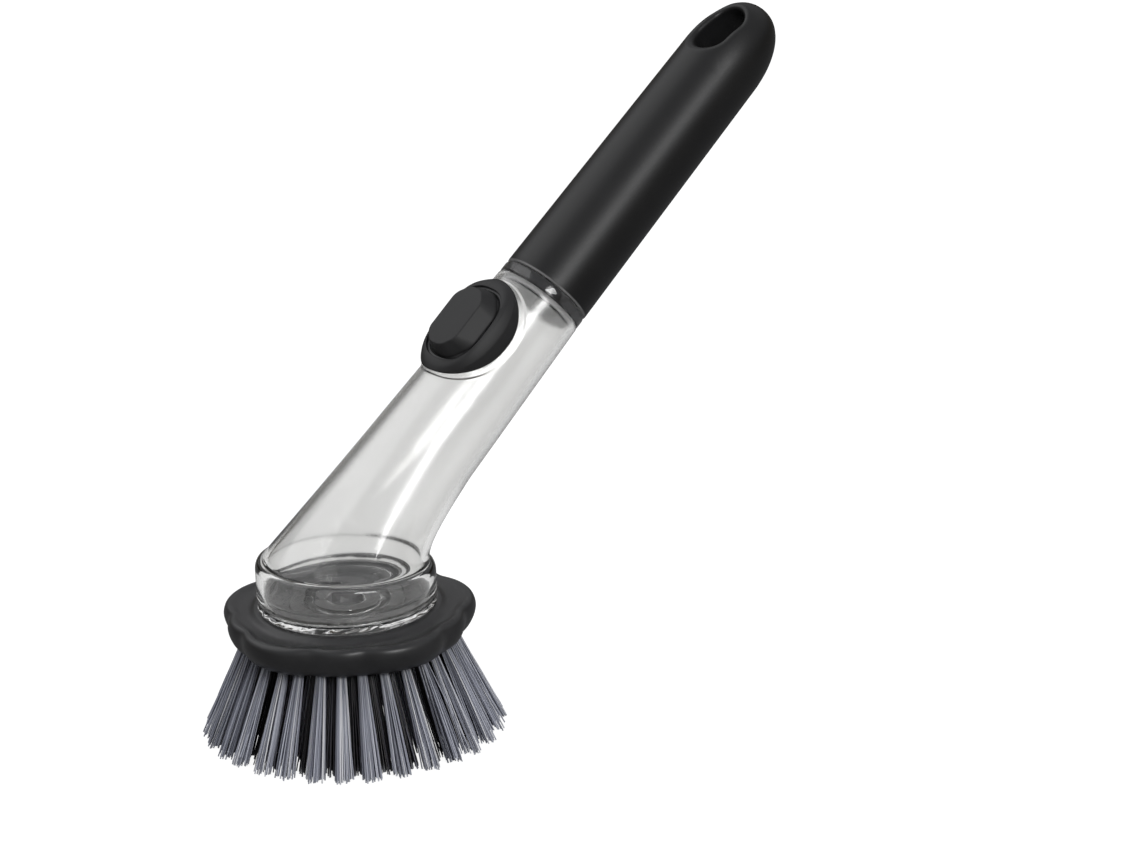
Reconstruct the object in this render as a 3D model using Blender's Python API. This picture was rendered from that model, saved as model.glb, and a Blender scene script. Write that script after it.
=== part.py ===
"""A soap-dispensing dish brush that stands on its bristles, with its handle leaning back over a clear tank.

The head's axis is vertical. The tank's tube and the handle share a second axis that leans away from it,
and the button sits on the upper side of that tube. Lengths are metres, and +Z is up.
"""

import math

import bmesh
import bpy
from mathutils import Vector
from mathutils.geometry import delaunay_2d_cdt

# Clearances
SEAT_GAP = 0.0003
SLIDE_GAP = 0.0004
CUT_OVERRUN = 0.003

# Radii of the cup and of what is seated on it, from the cup out to the deck and in to the core
CUP_RADIUS = 0.0290
DECK_SEAT_MARGIN = 0.0010
DECK_SEAT_RADIUS = CUP_RADIUS + DECK_SEAT_MARGIN
DECK_TROUGH_WIDTH = 0.0072
DECK_CREASE_RADIUS = DECK_SEAT_RADIUS + DECK_TROUGH_WIDTH
DECK_SKIRT_THICKNESS = 0.0031
CORE_RADIUS = DECK_CREASE_RADIUS - DECK_SKIRT_THICKNESS - SEAT_GAP
CORE_BEVEL_WIDTH = 0.0048
CORE_FLAT_RADIUS = CORE_RADIUS - CORE_BEVEL_WIDTH
SPIGOT_RADIUS = 0.0140
SEAL_BAND = 0.0050
DECK_HOLE_RADIUS = SPIGOT_RADIUS + SEAL_BAND

# Heights above the floor, each from what lies below it
BRISTLE_HEIGHT = 0.0334
BACKING_THICKNESS = 0.0016
CORE_BOTTOM = BRISTLE_HEIGHT + BACKING_THICKNESS + SEAT_GAP
CORE_RIM_THICKNESS = 0.0039
CORE_RIM_TOP = CORE_BOTTOM + CORE_RIM_THICKNESS
CORE_THICKNESS = 0.0057
CORE_TOP = CORE_BOTTOM + CORE_THICKNESS
DECK_SKIRT_DROP = 0.0014
DECK_BOTTOM = BRISTLE_HEIGHT - DECK_SKIRT_DROP
DECK_ROOF_THICKNESS = 0.0016
DECK_TOP = CORE_TOP + SEAT_GAP + DECK_ROOF_THICKNESS
DECK_WIDEST_DROP = 0.0037
DECK_WIDEST_HEIGHT = DECK_TOP - DECK_WIDEST_DROP
BASE_BOTTOM = DECK_TOP + SEAT_GAP
BASE_RIM_HEIGHT = 0.0030
CUP_SEAM_HEIGHT = BASE_BOTTOM + BASE_RIM_HEIGHT
CUP_FRONT_RISE = 0.0136
BEND_TOP_FRONT = CUP_SEAM_HEIGHT + CUP_FRONT_RISE
CUP_BACK_RISE = 0.0092
BEND_TOP_BACK = CUP_SEAM_HEIGHT + CUP_BACK_RISE

# Handle axis: it leaves the head's axis this far above the cup's seam and leans this far from the vertical
AXIS_RISE = 0.0148
AXIS_HEIGHT = CUP_SEAM_HEIGHT + AXIS_RISE
AXIS_LEAN = math.radians(53.0)

# Bristles
OUTLET_RADIUS = 0.0042
STRAND_RADIUS = 0.00045
STRAND_TIP_RADIUS = 0.00075
TUFT_RADIUS = 0.00100
TUFT_TIP_RADIUS = 0.00215
STRAND_SIDES = 3
BACKING_SEGMENTS = 48

# Rings of tufts from the outermost in: each backing's step in from the one round it, how far inside its
# backing's edge the tufts are rooted, how far they splay, how many tufts there are, and strands in each
DARK_OUTER_STEP = 0.0052
LIGHT_INNER_STEP = 0.0060
DARK_INNER_STEP = 0.0070
LIGHT_OUTER_INSET = 0.0018
DARK_OUTER_INSET = 0.0024
LIGHT_INNER_INSET = 0.0030
DARK_INNER_INSET = 0.0044
LIGHT_OUTER_SPLAY = 0.0142
DARK_OUTER_SPLAY = 0.0106
LIGHT_INNER_SPLAY = 0.0072
DARK_INNER_SPLAY = 0.0040
LIGHT_OUTER_COUNTS = (30, 6)
DARK_OUTER_COUNTS = (24, 5)
LIGHT_INNER_COUNTS = (14, 4)
DARK_INNER_COUNTS = (8, 5)

# Brush head core
CORE_FLOOR = 0.0016
CORE_OUTLET_RADIUS = 0.0050

# Scalloped deck: broad and shallow lobes by turns round its edge, with a crease between each two
DECK_BROAD_DEPTH = 0.0043
DECK_SHALLOW_DEPTH = 0.0022
DECK_LOBE_PAIRS = 5
DECK_FIRST_LOBE = math.radians(-24.5)
DECK_BROAD_SHARE = 0.64
DECK_LOBE_POWER = 0.5
DECK_BROAD_POINTS = 9
DECK_SHALLOW_POINTS = 5
# The deck's top, from its seat over a trough and a bead: shares of the way out, of the rise and of the lobes
DECK_UPPER_SHARES = ((0.26, 0.62, 0.10), (0.50, 0.60, 0.55), (0.73, 0.76, 0.90), (0.91, 0.54, 0.98))
# The rim's outer face below its widest line: shares of the rim's thickness, of the fall and of the lobes
DECK_LOWER_SHARES = ((0.97, 0.24, 1.00), (0.82, 0.52, 0.94), (0.60, 0.80, 0.78), (0.38, 0.95, 0.60))

# Clear cup: the tank's lower end
CUP_WALL = 0.0022
BASE_FLOOR = 0.0024
BASE_LIP_HEIGHT = 0.0034
BASE_LIP_WALL = 0.0018
BASE_EDGE_ROUND = 0.0009
SPIGOT_WALL = 0.0030
PORT_LEDGE = 0.0042
PORT_RADIUS = SPIGOT_RADIUS - SPIGOT_WALL - PORT_LEDGE

# Slit valve in the spigot, and the ring that holds it
RETAINER_HEIGHT = 0.0024
RETAINER_WIDTH = 0.0039
RETAINER_BORE = SPIGOT_RADIUS - SPIGOT_WALL - SEAT_GAP - RETAINER_WIDTH
VALVE_FLANGE = 0.0013
VALVE_DOME_GAP = 0.0008
VALVE_DOME_RADIUS = RETAINER_BORE - VALVE_DOME_GAP
VALVE_DOME_DEPTH = 0.0030
VALVE_SKIN = 0.0008
SLIT_WIDTH = 0.0004
SLIT_SHARE = 0.6
SLIT_LENGTH = 2 * VALVE_DOME_RADIUS * SLIT_SHARE

# Bend between the cup and the tube, in the plane of the two axes
SHOULDER_WIDTH = 0.0016
BEND_RADIUS = CUP_RADIUS - SHOULDER_WIDTH
SHOULDER_DROP = 0.0030
BEND_END = 0.0440
BEND_FRONT_START_HANDLE = 0.0030
BEND_FRONT_END_HANDLE = 0.0380
BEND_BACK_START_HANDLE = 0.0046
BEND_BACK_END_HANDLE = 0.0090
BEND_STEPS = 9
BEND_EASE_POWER = 0.8

# Tube, measured along the handle axis
MOUTH_PLACE = 0.1038
TUBE_MOUTH_RADIUS = 0.0155
TUBE_TAPER = 0.0021
TUBE_END_RADIUS = TUBE_MOUTH_RADIUS + TUBE_TAPER
TUBE_WALL = 0.0022
TANK_SEGMENTS = 44
RING_SEGMENTS = 36

# Collar, plug and seal at the filling mouth
COLLAR_HEIGHT = 0.0038
COLLAR_STEP = 0.0001
COLLAR_RADIUS = TUBE_MOUTH_RADIUS - COLLAR_STEP
PLUG_GAP = 0.0007
PLUG_RADIUS = TUBE_MOUTH_RADIUS - TUBE_WALL - PLUG_GAP
PLUG_DEPTH = 0.0026
PLUG_TAIL = 0.0110
PLUG_WALL = 0.0020
SEAL_WIDTH = 0.0012
SEAL_GROOVE_DEPTH = 0.0013
SEAL_PLACE = 0.0005

# Handle grip
GRIP_RADIUS = COLLAR_RADIUS
GRIP_TAPER = 0.0018
GRIP_END_RADIUS = GRIP_RADIUS - GRIP_TAPER
GRIP_STRAIGHT = 0.0920
GRIP_NOSE = 0.0247
GRIP_NOSE_POWER = 2.2
GRIP_WALL = 0.0018
GRIP_EDGE_ROUND = 0.0006
GRIP_SEGMENTS = 40
NOSE_STEPS = 7
SLOT_PLACE = 0.1016
SLOT_LENGTH = 0.0183
SLOT_WIDTH = 0.0124
SLOT_WALL = 0.0022
GRIP_HOLLOW = SLOT_PLACE - SLOT_LENGTH / 2 - SLOT_WALL

# Button group, centred on the handle axis at this place and measured out from that axis
BUTTON_PLACE = 0.0804
BOSS_RISE = 0.0016
BOSS_TOP = TUBE_MOUTH_RADIUS + BOSS_RISE
BOSS_FOOT = 0.0065
PLINTH_FOOT = 0.0045
WELL_FOOT = 0.0078
BOSS_HALF_LENGTH = 0.0169
BOSS_HALF_WIDTH = 0.0123
PLINTH_RISE = 0.0005
PLINTH_MARGIN = 0.0013
WELL_HALF_LENGTH = 0.0140
WELL_HALF_WIDTH = 0.0111
DIAPHRAGM_THICKNESS = 0.0008
DIAPHRAGM_FOLD = 0.0014
DIAPHRAGM_FOLD_WIDTH = 0.0014
BEZEL_PLATE = 0.0007
BEZEL_HALF_LENGTH = 0.0184
BEZEL_HALF_WIDTH = 0.0138
BEZEL_OPENING_MARGIN = 0.0003
BEZEL_EDGE_ROUND = 0.0003
BEZEL_ROLL_WIDTH = 0.0016
BEZEL_ROLL_SHARE = 0.40
PAD_RISE = 0.0067
PAD_TOP = BOSS_TOP + PAD_RISE
PAD_CLEARANCE = 0.0003
PAD_SIDE_GAP = 0.0008
PAD_FACET_HALF_LENGTH = 0.0114
PAD_FACET_HALF_WIDTH = 0.0067
PAD_FACET_SHIFT = 0.0005
PAD_CORNER_SHARE = 0.60
PAD_EDGE_ROUND = 0.0005
OVAL_POWER = 2.6
OVAL_SEGMENTS = 40

# Materials: colour, roughness, metallic, alpha
CLEAR = ("clear_plastic", (0.72, 0.73, 0.74), 0.08, 0.0, 0.35)
MATTE_BLACK = ("matte_black_plastic", (0.030, 0.030, 0.031), 0.55, 0.0, 1.0)
SATIN_BLACK = ("satin_black_rubber", (0.035, 0.035, 0.036), 0.42, 0.0, 1.0)
DARK_PLASTIC = ("dark_plastic", (0.018, 0.018, 0.019), 0.40, 0.0, 1.0)
SILICONE = ("silicone", (0.10, 0.10, 0.10), 0.50, 0.0, 1.0)
CLEAR_SILICONE = ("clear_silicone", (0.60, 0.61, 0.62), 0.30, 0.0, 0.6)
LIGHT_BRISTLE = ("light_bristle", (0.37, 0.40, 0.50), 0.45, 0.0, 1.0)
DARK_BRISTLE = ("dark_bristle", (0.020, 0.018, 0.021), 0.45, 0.0, 1.0)


# Scene and materials

def clear_scene():
    for item in list(bpy.data.objects):
        bpy.data.objects.remove(item, do_unlink=True)


def make_material(look):
    name, colour, roughness, metallic, alpha = look
    material = bpy.data.materials.get(name) or bpy.data.materials.new(name)
    material.use_nodes = True
    shader = material.node_tree.nodes["Principled BSDF"]
    shader.inputs["Base Color"].default_value = (*colour, 1.0)
    shader.inputs["Roughness"].default_value = roughness
    shader.inputs["Metallic"].default_value = metallic
    shader.inputs["Alpha"].default_value = alpha
    material.diffuse_color = (*colour, alpha)
    return material


def make_empty(name, location, rotation, parent=None):
    empty = bpy.data.objects.new(name, None)
    empty.location = location
    empty.rotation_euler = rotation
    empty.parent = parent
    bpy.context.collection.objects.link(empty)
    return empty


def make_object(name, bm, look, parent):
    """Turns a bmesh into a named object with outward faces, smooth but for its sharp edges."""
    bmesh.ops.recalc_face_normals(bm, faces=bm.faces)
    mesh = bpy.data.meshes.new(name)
    bm.to_mesh(mesh)
    bm.free()
    mesh.shade_smooth()
    mesh.set_sharp_from_angle(angle=math.radians(35.0))
    item = bpy.data.objects.new(name, mesh)
    item.parent = parent
    bpy.context.collection.objects.link(item)
    if look is None:
        item.hide_render = True
        item.display_type = "WIRE"
    else:
        mesh.materials.append(make_material(look))
    return item


def combine(item, tool, operation):
    """Adds or cuts with another closed shape, which stays in the file as a hidden tool."""
    modifier = item.modifiers.new(tool.name, "BOOLEAN")
    modifier.object = tool
    modifier.operation = operation
    modifier.solver = "EXACT"


# Shape helpers

def skin_rings(bm, rings, looped):
    """Joins rings of equal count with quads, looped for a wall with an opening through it, or capped."""
    loops = [[bm.verts.new(point) for point in ring] for ring in rings]
    pairs = list(zip(loops, loops[1:])) + ([(loops[-1], loops[0])] if looped else [])
    for lower, upper in pairs:
        for i in range(len(lower)):
            j = (i + 1) % len(lower)
            bm.faces.new((lower[i], lower[j], upper[j], upper[i]))
    if not looped:
        bm.faces.new(loops[0])
        bm.faces.new(loops[-1])


def circle(radius, height, segments):
    return [
        Vector((radius * math.cos(turn), radius * math.sin(turn), height))
        for turn in (math.tau * i / segments for i in range(segments))
    ]


def oval(half_length, half_width, height):
    """A full-cornered oval, long along Z and lifted along -X, as the button's pieces lie on the tube."""
    points = []
    for i in range(OVAL_SEGMENTS):
        turn = math.tau * i / OVAL_SEGMENTS
        along = math.copysign(abs(math.cos(turn)) ** (2 / OVAL_POWER), math.cos(turn))
        across = math.copysign(abs(math.sin(turn)) ** (2 / OVAL_POWER), math.sin(turn))
        points.append(Vector((-height, across * half_width, along * half_length)))
    return points


def turned(name, profile, look, parent, segments, looped=True):
    """Turns a profile of (radius, height) points round Z."""
    bm = bmesh.new()
    skin_rings(bm, [circle(radius, height, segments) for radius, height in profile], looped)
    return make_object(name, bm, look, parent)


def lofted(name, rings, look, parent, looped=False):
    bm = bmesh.new()
    skin_rings(bm, rings, looped)
    return make_object(name, bm, look, parent)


def bezier(start, start_handle, end_handle, end, share):
    rest = 1 - share
    return (
        start * rest**3
        + start_handle * 3 * rest**2 * share
        + end_handle * 3 * rest * share**2
        + end * share**3
    )


# Tank

def tube_radius(place):
    """The tube narrows evenly from the end of the bend to its mouth."""
    share = (place - BEND_END) / (MOUTH_PLACE - BEND_END)
    return TUBE_END_RADIUS + (TUBE_MOUTH_RADIUS - TUBE_END_RADIUS) * share


def axis_point(place, offset):
    """A point at this place on the handle axis, moved out on the button's side by offset."""
    along = Vector((math.sin(AXIS_LEAN), 0, math.cos(AXIS_LEAN)))
    outward = Vector((-math.cos(AXIS_LEAN), 0, math.sin(AXIS_LEAN)))
    return Vector((0, 0, AXIS_HEIGHT)) + along * place + outward * offset


def tilted_ring(front, back, half_width, inset):
    """An ellipse between a point on the front rail and one on the back rail, drawn in by inset."""
    centre = (front + back) / 2
    half = (front - back) / 2
    half = half * (1 - inset / half.length)
    side = Vector((0, half_width - inset, 0))
    return [
        centre - half * math.cos(turn) - side * math.sin(turn)
        for turn in (math.tau * i / TANK_SEGMENTS for i in range(TANK_SEGMENTS))
    ]


def tank_rings(inset, bottom, top):
    """Rings of the tank's skin from the cup's lower edge to the tube's mouth."""
    along = axis_point(1, 0) - axis_point(0, 0)
    front_start = Vector((-BEND_RADIUS, 0, BEND_TOP_FRONT))
    back_start = Vector((BEND_RADIUS, 0, BEND_TOP_BACK))
    front_end = axis_point(BEND_END, TUBE_END_RADIUS)
    back_end = axis_point(BEND_END, -TUBE_END_RADIUS)
    rise = Vector((0, 0, 1))
    spread = Vector((CUP_RADIUS, 0, 0))
    drop = rise * SHOULDER_DROP
    low = rise * bottom
    front_wall = Vector((-CUP_RADIUS, 0, BEND_TOP_FRONT)) - drop
    back_wall = Vector((CUP_RADIUS, 0, BEND_TOP_BACK)) - drop
    rings = [
        tilted_ring(low - spread, low + spread, CUP_RADIUS, inset),
        tilted_ring(front_wall, back_wall, CUP_RADIUS, inset),
    ]
    for turn in (math.radians(30), math.radians(60)):
        # the cup's shoulder is a quarter of an ellipse from its wall to the start of the bend
        out, up = math.cos(turn), math.sin(turn)
        radius = BEND_RADIUS + (CUP_RADIUS - BEND_RADIUS) * out
        front = Vector((-radius, 0, front_wall.z + SHOULDER_DROP * up))
        back = Vector((radius, 0, back_wall.z + SHOULDER_DROP * up))
        rings.append(tilted_ring(front, back, radius, inset))
    for i in range(BEND_STEPS + 1):
        share = i / BEND_STEPS
        front = bezier(
            front_start,
            front_start + rise * BEND_FRONT_START_HANDLE,
            front_end - along * BEND_FRONT_END_HANDLE,
            front_end,
            share,
        )
        back = bezier(
            back_start,
            back_start + rise * BEND_BACK_START_HANDLE,
            back_end - along * BEND_BACK_END_HANDLE,
            back_end,
            share,
        )
        width = BEND_RADIUS + (TUBE_END_RADIUS - BEND_RADIUS) * share**BEND_EASE_POWER
        rings.append(tilted_ring(front, back, width, inset))
    mouth = tube_radius(top)
    rings.append(tilted_ring(axis_point(top, mouth), axis_point(top, -mouth), mouth, inset))
    return rings


def make_tank(root, handle_axis):
    """The clear tank: cup, bend and tube in one shell, with the button's plinth, boss and well."""
    tank = lofted("reservoir", tank_rings(0, CUP_SEAM_HEIGHT, MOUTH_PLACE), CLEAR, root)

    margin = BEZEL_HALF_LENGTH - BEZEL_HALF_WIDTH
    half_width = BEZEL_HALF_WIDTH + PLINTH_MARGIN
    plinth_rings = [
        shifted(oval(half_width + margin, half_width, height))
        for height in (PLINTH_FOOT, BOSS_TOP + CUT_OVERRUN)
    ]
    plinth = lofted("plinth_outline", plinth_rings, None, handle_axis)
    shell = tube_sleeve("plinth_skin", PLINTH_RISE, handle_axis)
    combine(plinth, shell, "INTERSECT")
    combine(tank, plinth, "UNION")

    boss_rings = [
        shifted(oval(BOSS_HALF_LENGTH, BOSS_HALF_WIDTH, height)) for height in (BOSS_FOOT, BOSS_TOP)
    ]
    boss = lofted("boss_outline", boss_rings, None, handle_axis)
    combine(tank, boss, "UNION")

    below = CUP_SEAM_HEIGHT - CUT_OVERRUN
    beyond = MOUTH_PLACE + CUT_OVERRUN
    hollow = lofted("tank_hollow", tank_rings(TUBE_WALL, below, beyond), None, root)
    combine(tank, hollow, "DIFFERENCE")
    well_rings = [
        shifted(oval(WELL_HALF_LENGTH, WELL_HALF_WIDTH, height))
        for height in (WELL_FOOT, BOSS_TOP + CUT_OVERRUN)
    ]
    well = lofted("well_outline", well_rings, None, handle_axis)
    combine(tank, well, "DIFFERENCE")


def shifted(points):
    """Moves points of a button piece to the button's place on the handle axis."""
    return [point + Vector((0, 0, BUTTON_PLACE)) for point in points]


def tube_sleeve(name, rise, handle_axis):
    """A solid plug of the tube's own taper, larger than the tube by rise, as a tool."""
    ends = (BUTTON_PLACE - BEZEL_HALF_LENGTH - CUT_OVERRUN, BUTTON_PLACE + BEZEL_HALF_LENGTH + CUT_OVERRUN)
    rings = [circle(tube_radius(place) + rise, place, TANK_SEGMENTS) for place in ends]
    return lofted(name, rings, None, handle_axis)


def make_base(root):
    """The cup's floor: the rim under the seam, the lip inside the wall, and the spigot for the head."""
    lip_radius = CUP_RADIUS - CUP_WALL - SEAT_GAP
    seam = CUP_SEAM_HEIGHT - SEAT_GAP
    spigot_end = spigot_bottom()
    bore = SPIGOT_RADIUS - SPIGOT_WALL
    shelf = BASE_BOTTOM + VALVE_FLANGE / 2
    floor_top = BASE_BOTTOM + BASE_FLOOR
    profile = [
        (CUP_RADIUS, seam),
        (CUP_RADIUS, BASE_BOTTOM + BASE_EDGE_ROUND),
        (CUP_RADIUS - BASE_EDGE_ROUND / 3, BASE_BOTTOM + BASE_EDGE_ROUND / 3),
        (CUP_RADIUS - BASE_EDGE_ROUND, BASE_BOTTOM),
        (SPIGOT_RADIUS, BASE_BOTTOM),
        (SPIGOT_RADIUS, spigot_end + BASE_EDGE_ROUND),
        (SPIGOT_RADIUS - BASE_EDGE_ROUND, spigot_end),
        (bore, spigot_end),
        (bore, shelf),
        (PORT_RADIUS, shelf),
        (PORT_RADIUS, floor_top),
        (lip_radius - BASE_LIP_WALL, floor_top),
        (lip_radius - BASE_LIP_WALL, seam + BASE_LIP_HEIGHT),
        (lip_radius, seam + BASE_LIP_HEIGHT),
        (lip_radius, seam),
    ]
    turned("reservoir_base", profile, CLEAR, root, TANK_SEGMENTS)


def spigot_bottom():
    return CORE_BOTTOM + CORE_FLOOR + SLIDE_GAP


def make_valve(root):
    """A silicone valve with a crossed slit in its dome, and the ring that clips it into the spigot."""
    bore = SPIGOT_RADIUS - SPIGOT_WALL - SEAT_GAP
    top = BASE_BOTTOM + VALVE_FLANGE / 2 - SEAT_GAP
    under = top - VALVE_FLANGE
    inner = VALVE_DOME_RADIUS - VALVE_SKIN
    steps = 4
    outer_dome = [
        (VALVE_DOME_RADIUS * math.cos(turn), under - VALVE_DOME_DEPTH * math.sin(turn))
        for turn in (math.pi / 2 * i / steps for i in range(steps))
    ]
    inner_dome = [
        (inner * math.cos(turn), under - (VALVE_DOME_DEPTH - VALVE_SKIN) * math.sin(turn))
        for turn in (math.pi / 2 * i / steps for i in reversed(range(steps)))
    ]
    profile = [(bore, top), (bore, under), *outer_dome]
    inside = [*inner_dome, (inner, top)]
    bm = bmesh.new()
    rings = [circle(radius, height, TANK_SEGMENTS // 2) for radius, height in profile]
    inner_rings = [circle(radius, height, TANK_SEGMENTS // 2) for radius, height in inside]
    skin_rings(bm, rings + inner_rings, True)
    close_dome(bm, len(rings), len(inner_rings), TANK_SEGMENTS // 2)
    valve = make_object("outlet_valve", bm, CLEAR_SILICONE, root)
    for i, sizes in enumerate(((SLIT_LENGTH, SLIT_WIDTH), (SLIT_WIDTH, SLIT_LENGTH))):
        height = VALVE_DOME_DEPTH + CUT_OVERRUN
        slit = block(f"valve_slit_{i + 1}", (*sizes, height), (0, 0, under - height / 2), root)
        combine(valve, slit, "DIFFERENCE")

    seat = under - SEAT_GAP
    ring = [
        (bore, seat),
        (bore, seat - RETAINER_HEIGHT),
        (RETAINER_BORE, seat - RETAINER_HEIGHT),
        (RETAINER_BORE, seat),
    ]
    turned("valve_retainer", ring, CLEAR, root, RING_SEGMENTS)


def close_dome(bm, outer_count, inner_count, segments):
    """Replaces the band between the two dome tips by a cap on each, so that the dome is whole."""
    bm.verts.ensure_lookup_table()
    outer = bm.verts[(outer_count - 1) * segments:outer_count * segments]
    inner = bm.verts[outer_count * segments:(outer_count + 1) * segments]
    joined = set(outer) | set(inner)
    band = [face for face in bm.faces if all(vert in joined for vert in face.verts)]
    bmesh.ops.delete(bm, geom=band, context="FACES_ONLY")
    bm.faces.new(outer)
    bm.faces.new(inner)


def block(name, sizes, centre, parent):
    bm = bmesh.new()
    bmesh.ops.create_cube(bm, size=1)
    bmesh.ops.scale(bm, vec=sizes, verts=bm.verts)
    bmesh.ops.translate(bm, vec=centre, verts=bm.verts)
    return make_object(name, bm, None, parent)


# Button group on the tube

def make_button(handle_axis):
    """The diaphragm, the bezel that clamps it on the boss, and the pad that presses it."""
    flange_low = BOSS_TOP + SEAT_GAP
    flange_top = flange_low + DIAPHRAGM_THICKNESS
    fold = DIAPHRAGM_FOLD_WIDTH / 2
    # The fold is a groove inside the well's edge: drawn-in distance and drop of its three lines
    folds = ((SEAT_GAP, 0), (fold + SEAT_GAP, DIAPHRAGM_FOLD), (DIAPHRAGM_FOLD_WIDTH + SEAT_GAP, 0))
    upper = [oval(BOSS_HALF_LENGTH, BOSS_HALF_WIDTH, flange_top)]
    lower = [oval(BOSS_HALF_LENGTH, BOSS_HALF_WIDTH, flange_low)]
    for inset, drop in folds:
        half_length, half_width = WELL_HALF_LENGTH - inset, WELL_HALF_WIDTH - inset
        upper.append(oval(half_length, half_width, flange_top - drop))
        lower.append(oval(half_length, half_width, flange_low - drop))
    rings = [shifted(ring) for ring in [*reversed(upper), *lower]]
    lofted("pump_diaphragm", rings, SILICONE, handle_axis)

    under = flange_top + SEAT_GAP
    top = under + BEZEL_PLATE
    opening = BEZEL_OPENING_MARGIN
    inner_length, inner_width = WELL_HALF_LENGTH + opening, WELL_HALF_WIDTH + opening
    skirt_length, skirt_width = BOSS_HALF_LENGTH + SEAT_GAP, BOSS_HALF_WIDTH + SEAT_GAP
    lip_length, lip_width = BEZEL_HALF_LENGTH, BEZEL_HALF_WIDTH
    edge = BEZEL_EDGE_ROUND
    inside = [
        (inner_length, inner_width, under),
        (inner_length, inner_width, top - edge),
        (inner_length + edge, inner_width + edge, top),
    ]
    outside = [(lip_length, lip_width, 0), (skirt_length, skirt_width, 0), (skirt_length, skirt_width, under)]
    rings = [shifted(oval(*size)) for size in inside]
    for turn in (0, math.radians(30), math.radians(60), math.radians(90)):
        inset = BEZEL_ROLL_WIDTH * (1 - math.sin(turn))
        share = BEZEL_ROLL_SHARE * (1 - math.cos(turn))
        rings.append(rolled_oval(lip_length - inset, lip_width - inset, top, share))
    rings += [shifted(oval(*size)) for size in outside]
    bezel = lofted("button_bezel", rings, SATIN_BLACK, handle_axis, True)
    saddle = tube_sleeve("bezel_saddle", PLINTH_RISE + SEAT_GAP, handle_axis)
    combine(bezel, saddle, "DIFFERENCE")

    foot = flange_top + PAD_CLEARANCE
    shoulder = top - BEZEL_EDGE_ROUND
    base_length, base_width = WELL_HALF_LENGTH - PAD_SIDE_GAP, WELL_HALF_WIDTH - PAD_SIDE_GAP
    towards_head = Vector((0, 0, -PAD_FACET_SHIFT))
    facet = octagon(PAD_FACET_HALF_LENGTH, PAD_FACET_HALF_WIDTH, PAD_TOP)
    pad_rings = [
        octagon(base_length, base_width, foot),
        octagon(base_length, base_width, shoulder),
        [point + towards_head for point in facet],
    ]
    pad = lofted("button_pad", [shifted(ring) for ring in pad_rings], SATIN_BLACK, handle_axis)
    edge = pad.modifiers.new("edge_round", "BEVEL")
    edge.width = PAD_EDGE_ROUND
    edge.segments = 2
    edge.limit_method = "ANGLE"
    edge.angle_limit = math.radians(20.0)


def rolled_oval(half_length, half_width, top, share):
    """An oval at the button's place, each point lowered from the top by a share of the way to the tube."""
    points = shifted(oval(half_length, half_width, top))
    for point in points:
        skin = tube_radius(point.z) + PLINTH_RISE + SEAT_GAP
        foot = math.sqrt(max(skin**2 - point.y**2, 0))
        point.x += (top - foot) * share
    return points


def octagon(half_length, half_width, height):
    """A long eight-sided outline with its four corners cut off."""
    cut = half_width * PAD_CORNER_SHARE
    quarter = [(half_length, half_width - cut), (half_length - cut, half_width)]
    points = []
    for along_sign, across_sign, order in ((1, 1, 1), (-1, 1, -1), (-1, -1, 1), (1, -1, -1)):
        for along, across in quarter[::order]:
            points.append(Vector((-height, across * across_sign, along * along_sign)))
    return points


# Filling mouth and handle

def make_mouth(handle_axis):
    """The plug that closes the tank, its seal, and the clear collar between tank and grip."""
    collar_low = MOUTH_PLACE + SEAT_GAP
    collar_top = collar_low + COLLAR_HEIGHT
    plug_low = MOUTH_PLACE - PLUG_DEPTH
    plug_top = collar_top + PLUG_TAIL
    groove_low = plug_low + SEAL_PLACE
    groove_top = groove_low + SEAL_WIDTH + 2 * SEAT_GAP
    groove = PLUG_RADIUS - SEAL_GROOVE_DEPTH
    profile = [
        (PLUG_RADIUS - PLUG_WALL, plug_low + PLUG_WALL),
        (PLUG_RADIUS - PLUG_WALL, plug_top),
        (PLUG_RADIUS, plug_top),
        (PLUG_RADIUS, groove_top),
        (groove, groove_top),
        (groove, groove_low),
        (PLUG_RADIUS, groove_low),
        (PLUG_RADIUS, plug_low),
    ]
    turned("handle_plug", profile, DARK_PLASTIC, handle_axis, RING_SEGMENTS, looped=False)

    outer = TUBE_MOUTH_RADIUS - TUBE_WALL - SEAT_GAP
    seal = [
        (outer, groove_top - SEAT_GAP),
        (outer, groove_low + SEAT_GAP),
        (groove + SEAT_GAP, groove_low + SEAT_GAP),
        (groove + SEAT_GAP, groove_top - SEAT_GAP),
    ]
    turned("neck_seal", seal, SILICONE, handle_axis, RING_SEGMENTS)

    chamfer = GRIP_EDGE_ROUND / 2
    collar = [
        (COLLAR_RADIUS, collar_top - chamfer),
        (COLLAR_RADIUS, collar_low + chamfer),
        (COLLAR_RADIUS - chamfer, collar_low),
        (PLUG_RADIUS + SEAT_GAP, collar_low),
        (PLUG_RADIUS + SEAT_GAP, collar_top),
        (COLLAR_RADIUS - chamfer, collar_top),
    ]
    turned("handle_collar", collar, CLEAR, handle_axis, RING_SEGMENTS)


def grip_start():
    return MOUTH_PLACE + COLLAR_HEIGHT + 2 * SEAT_GAP


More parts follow.
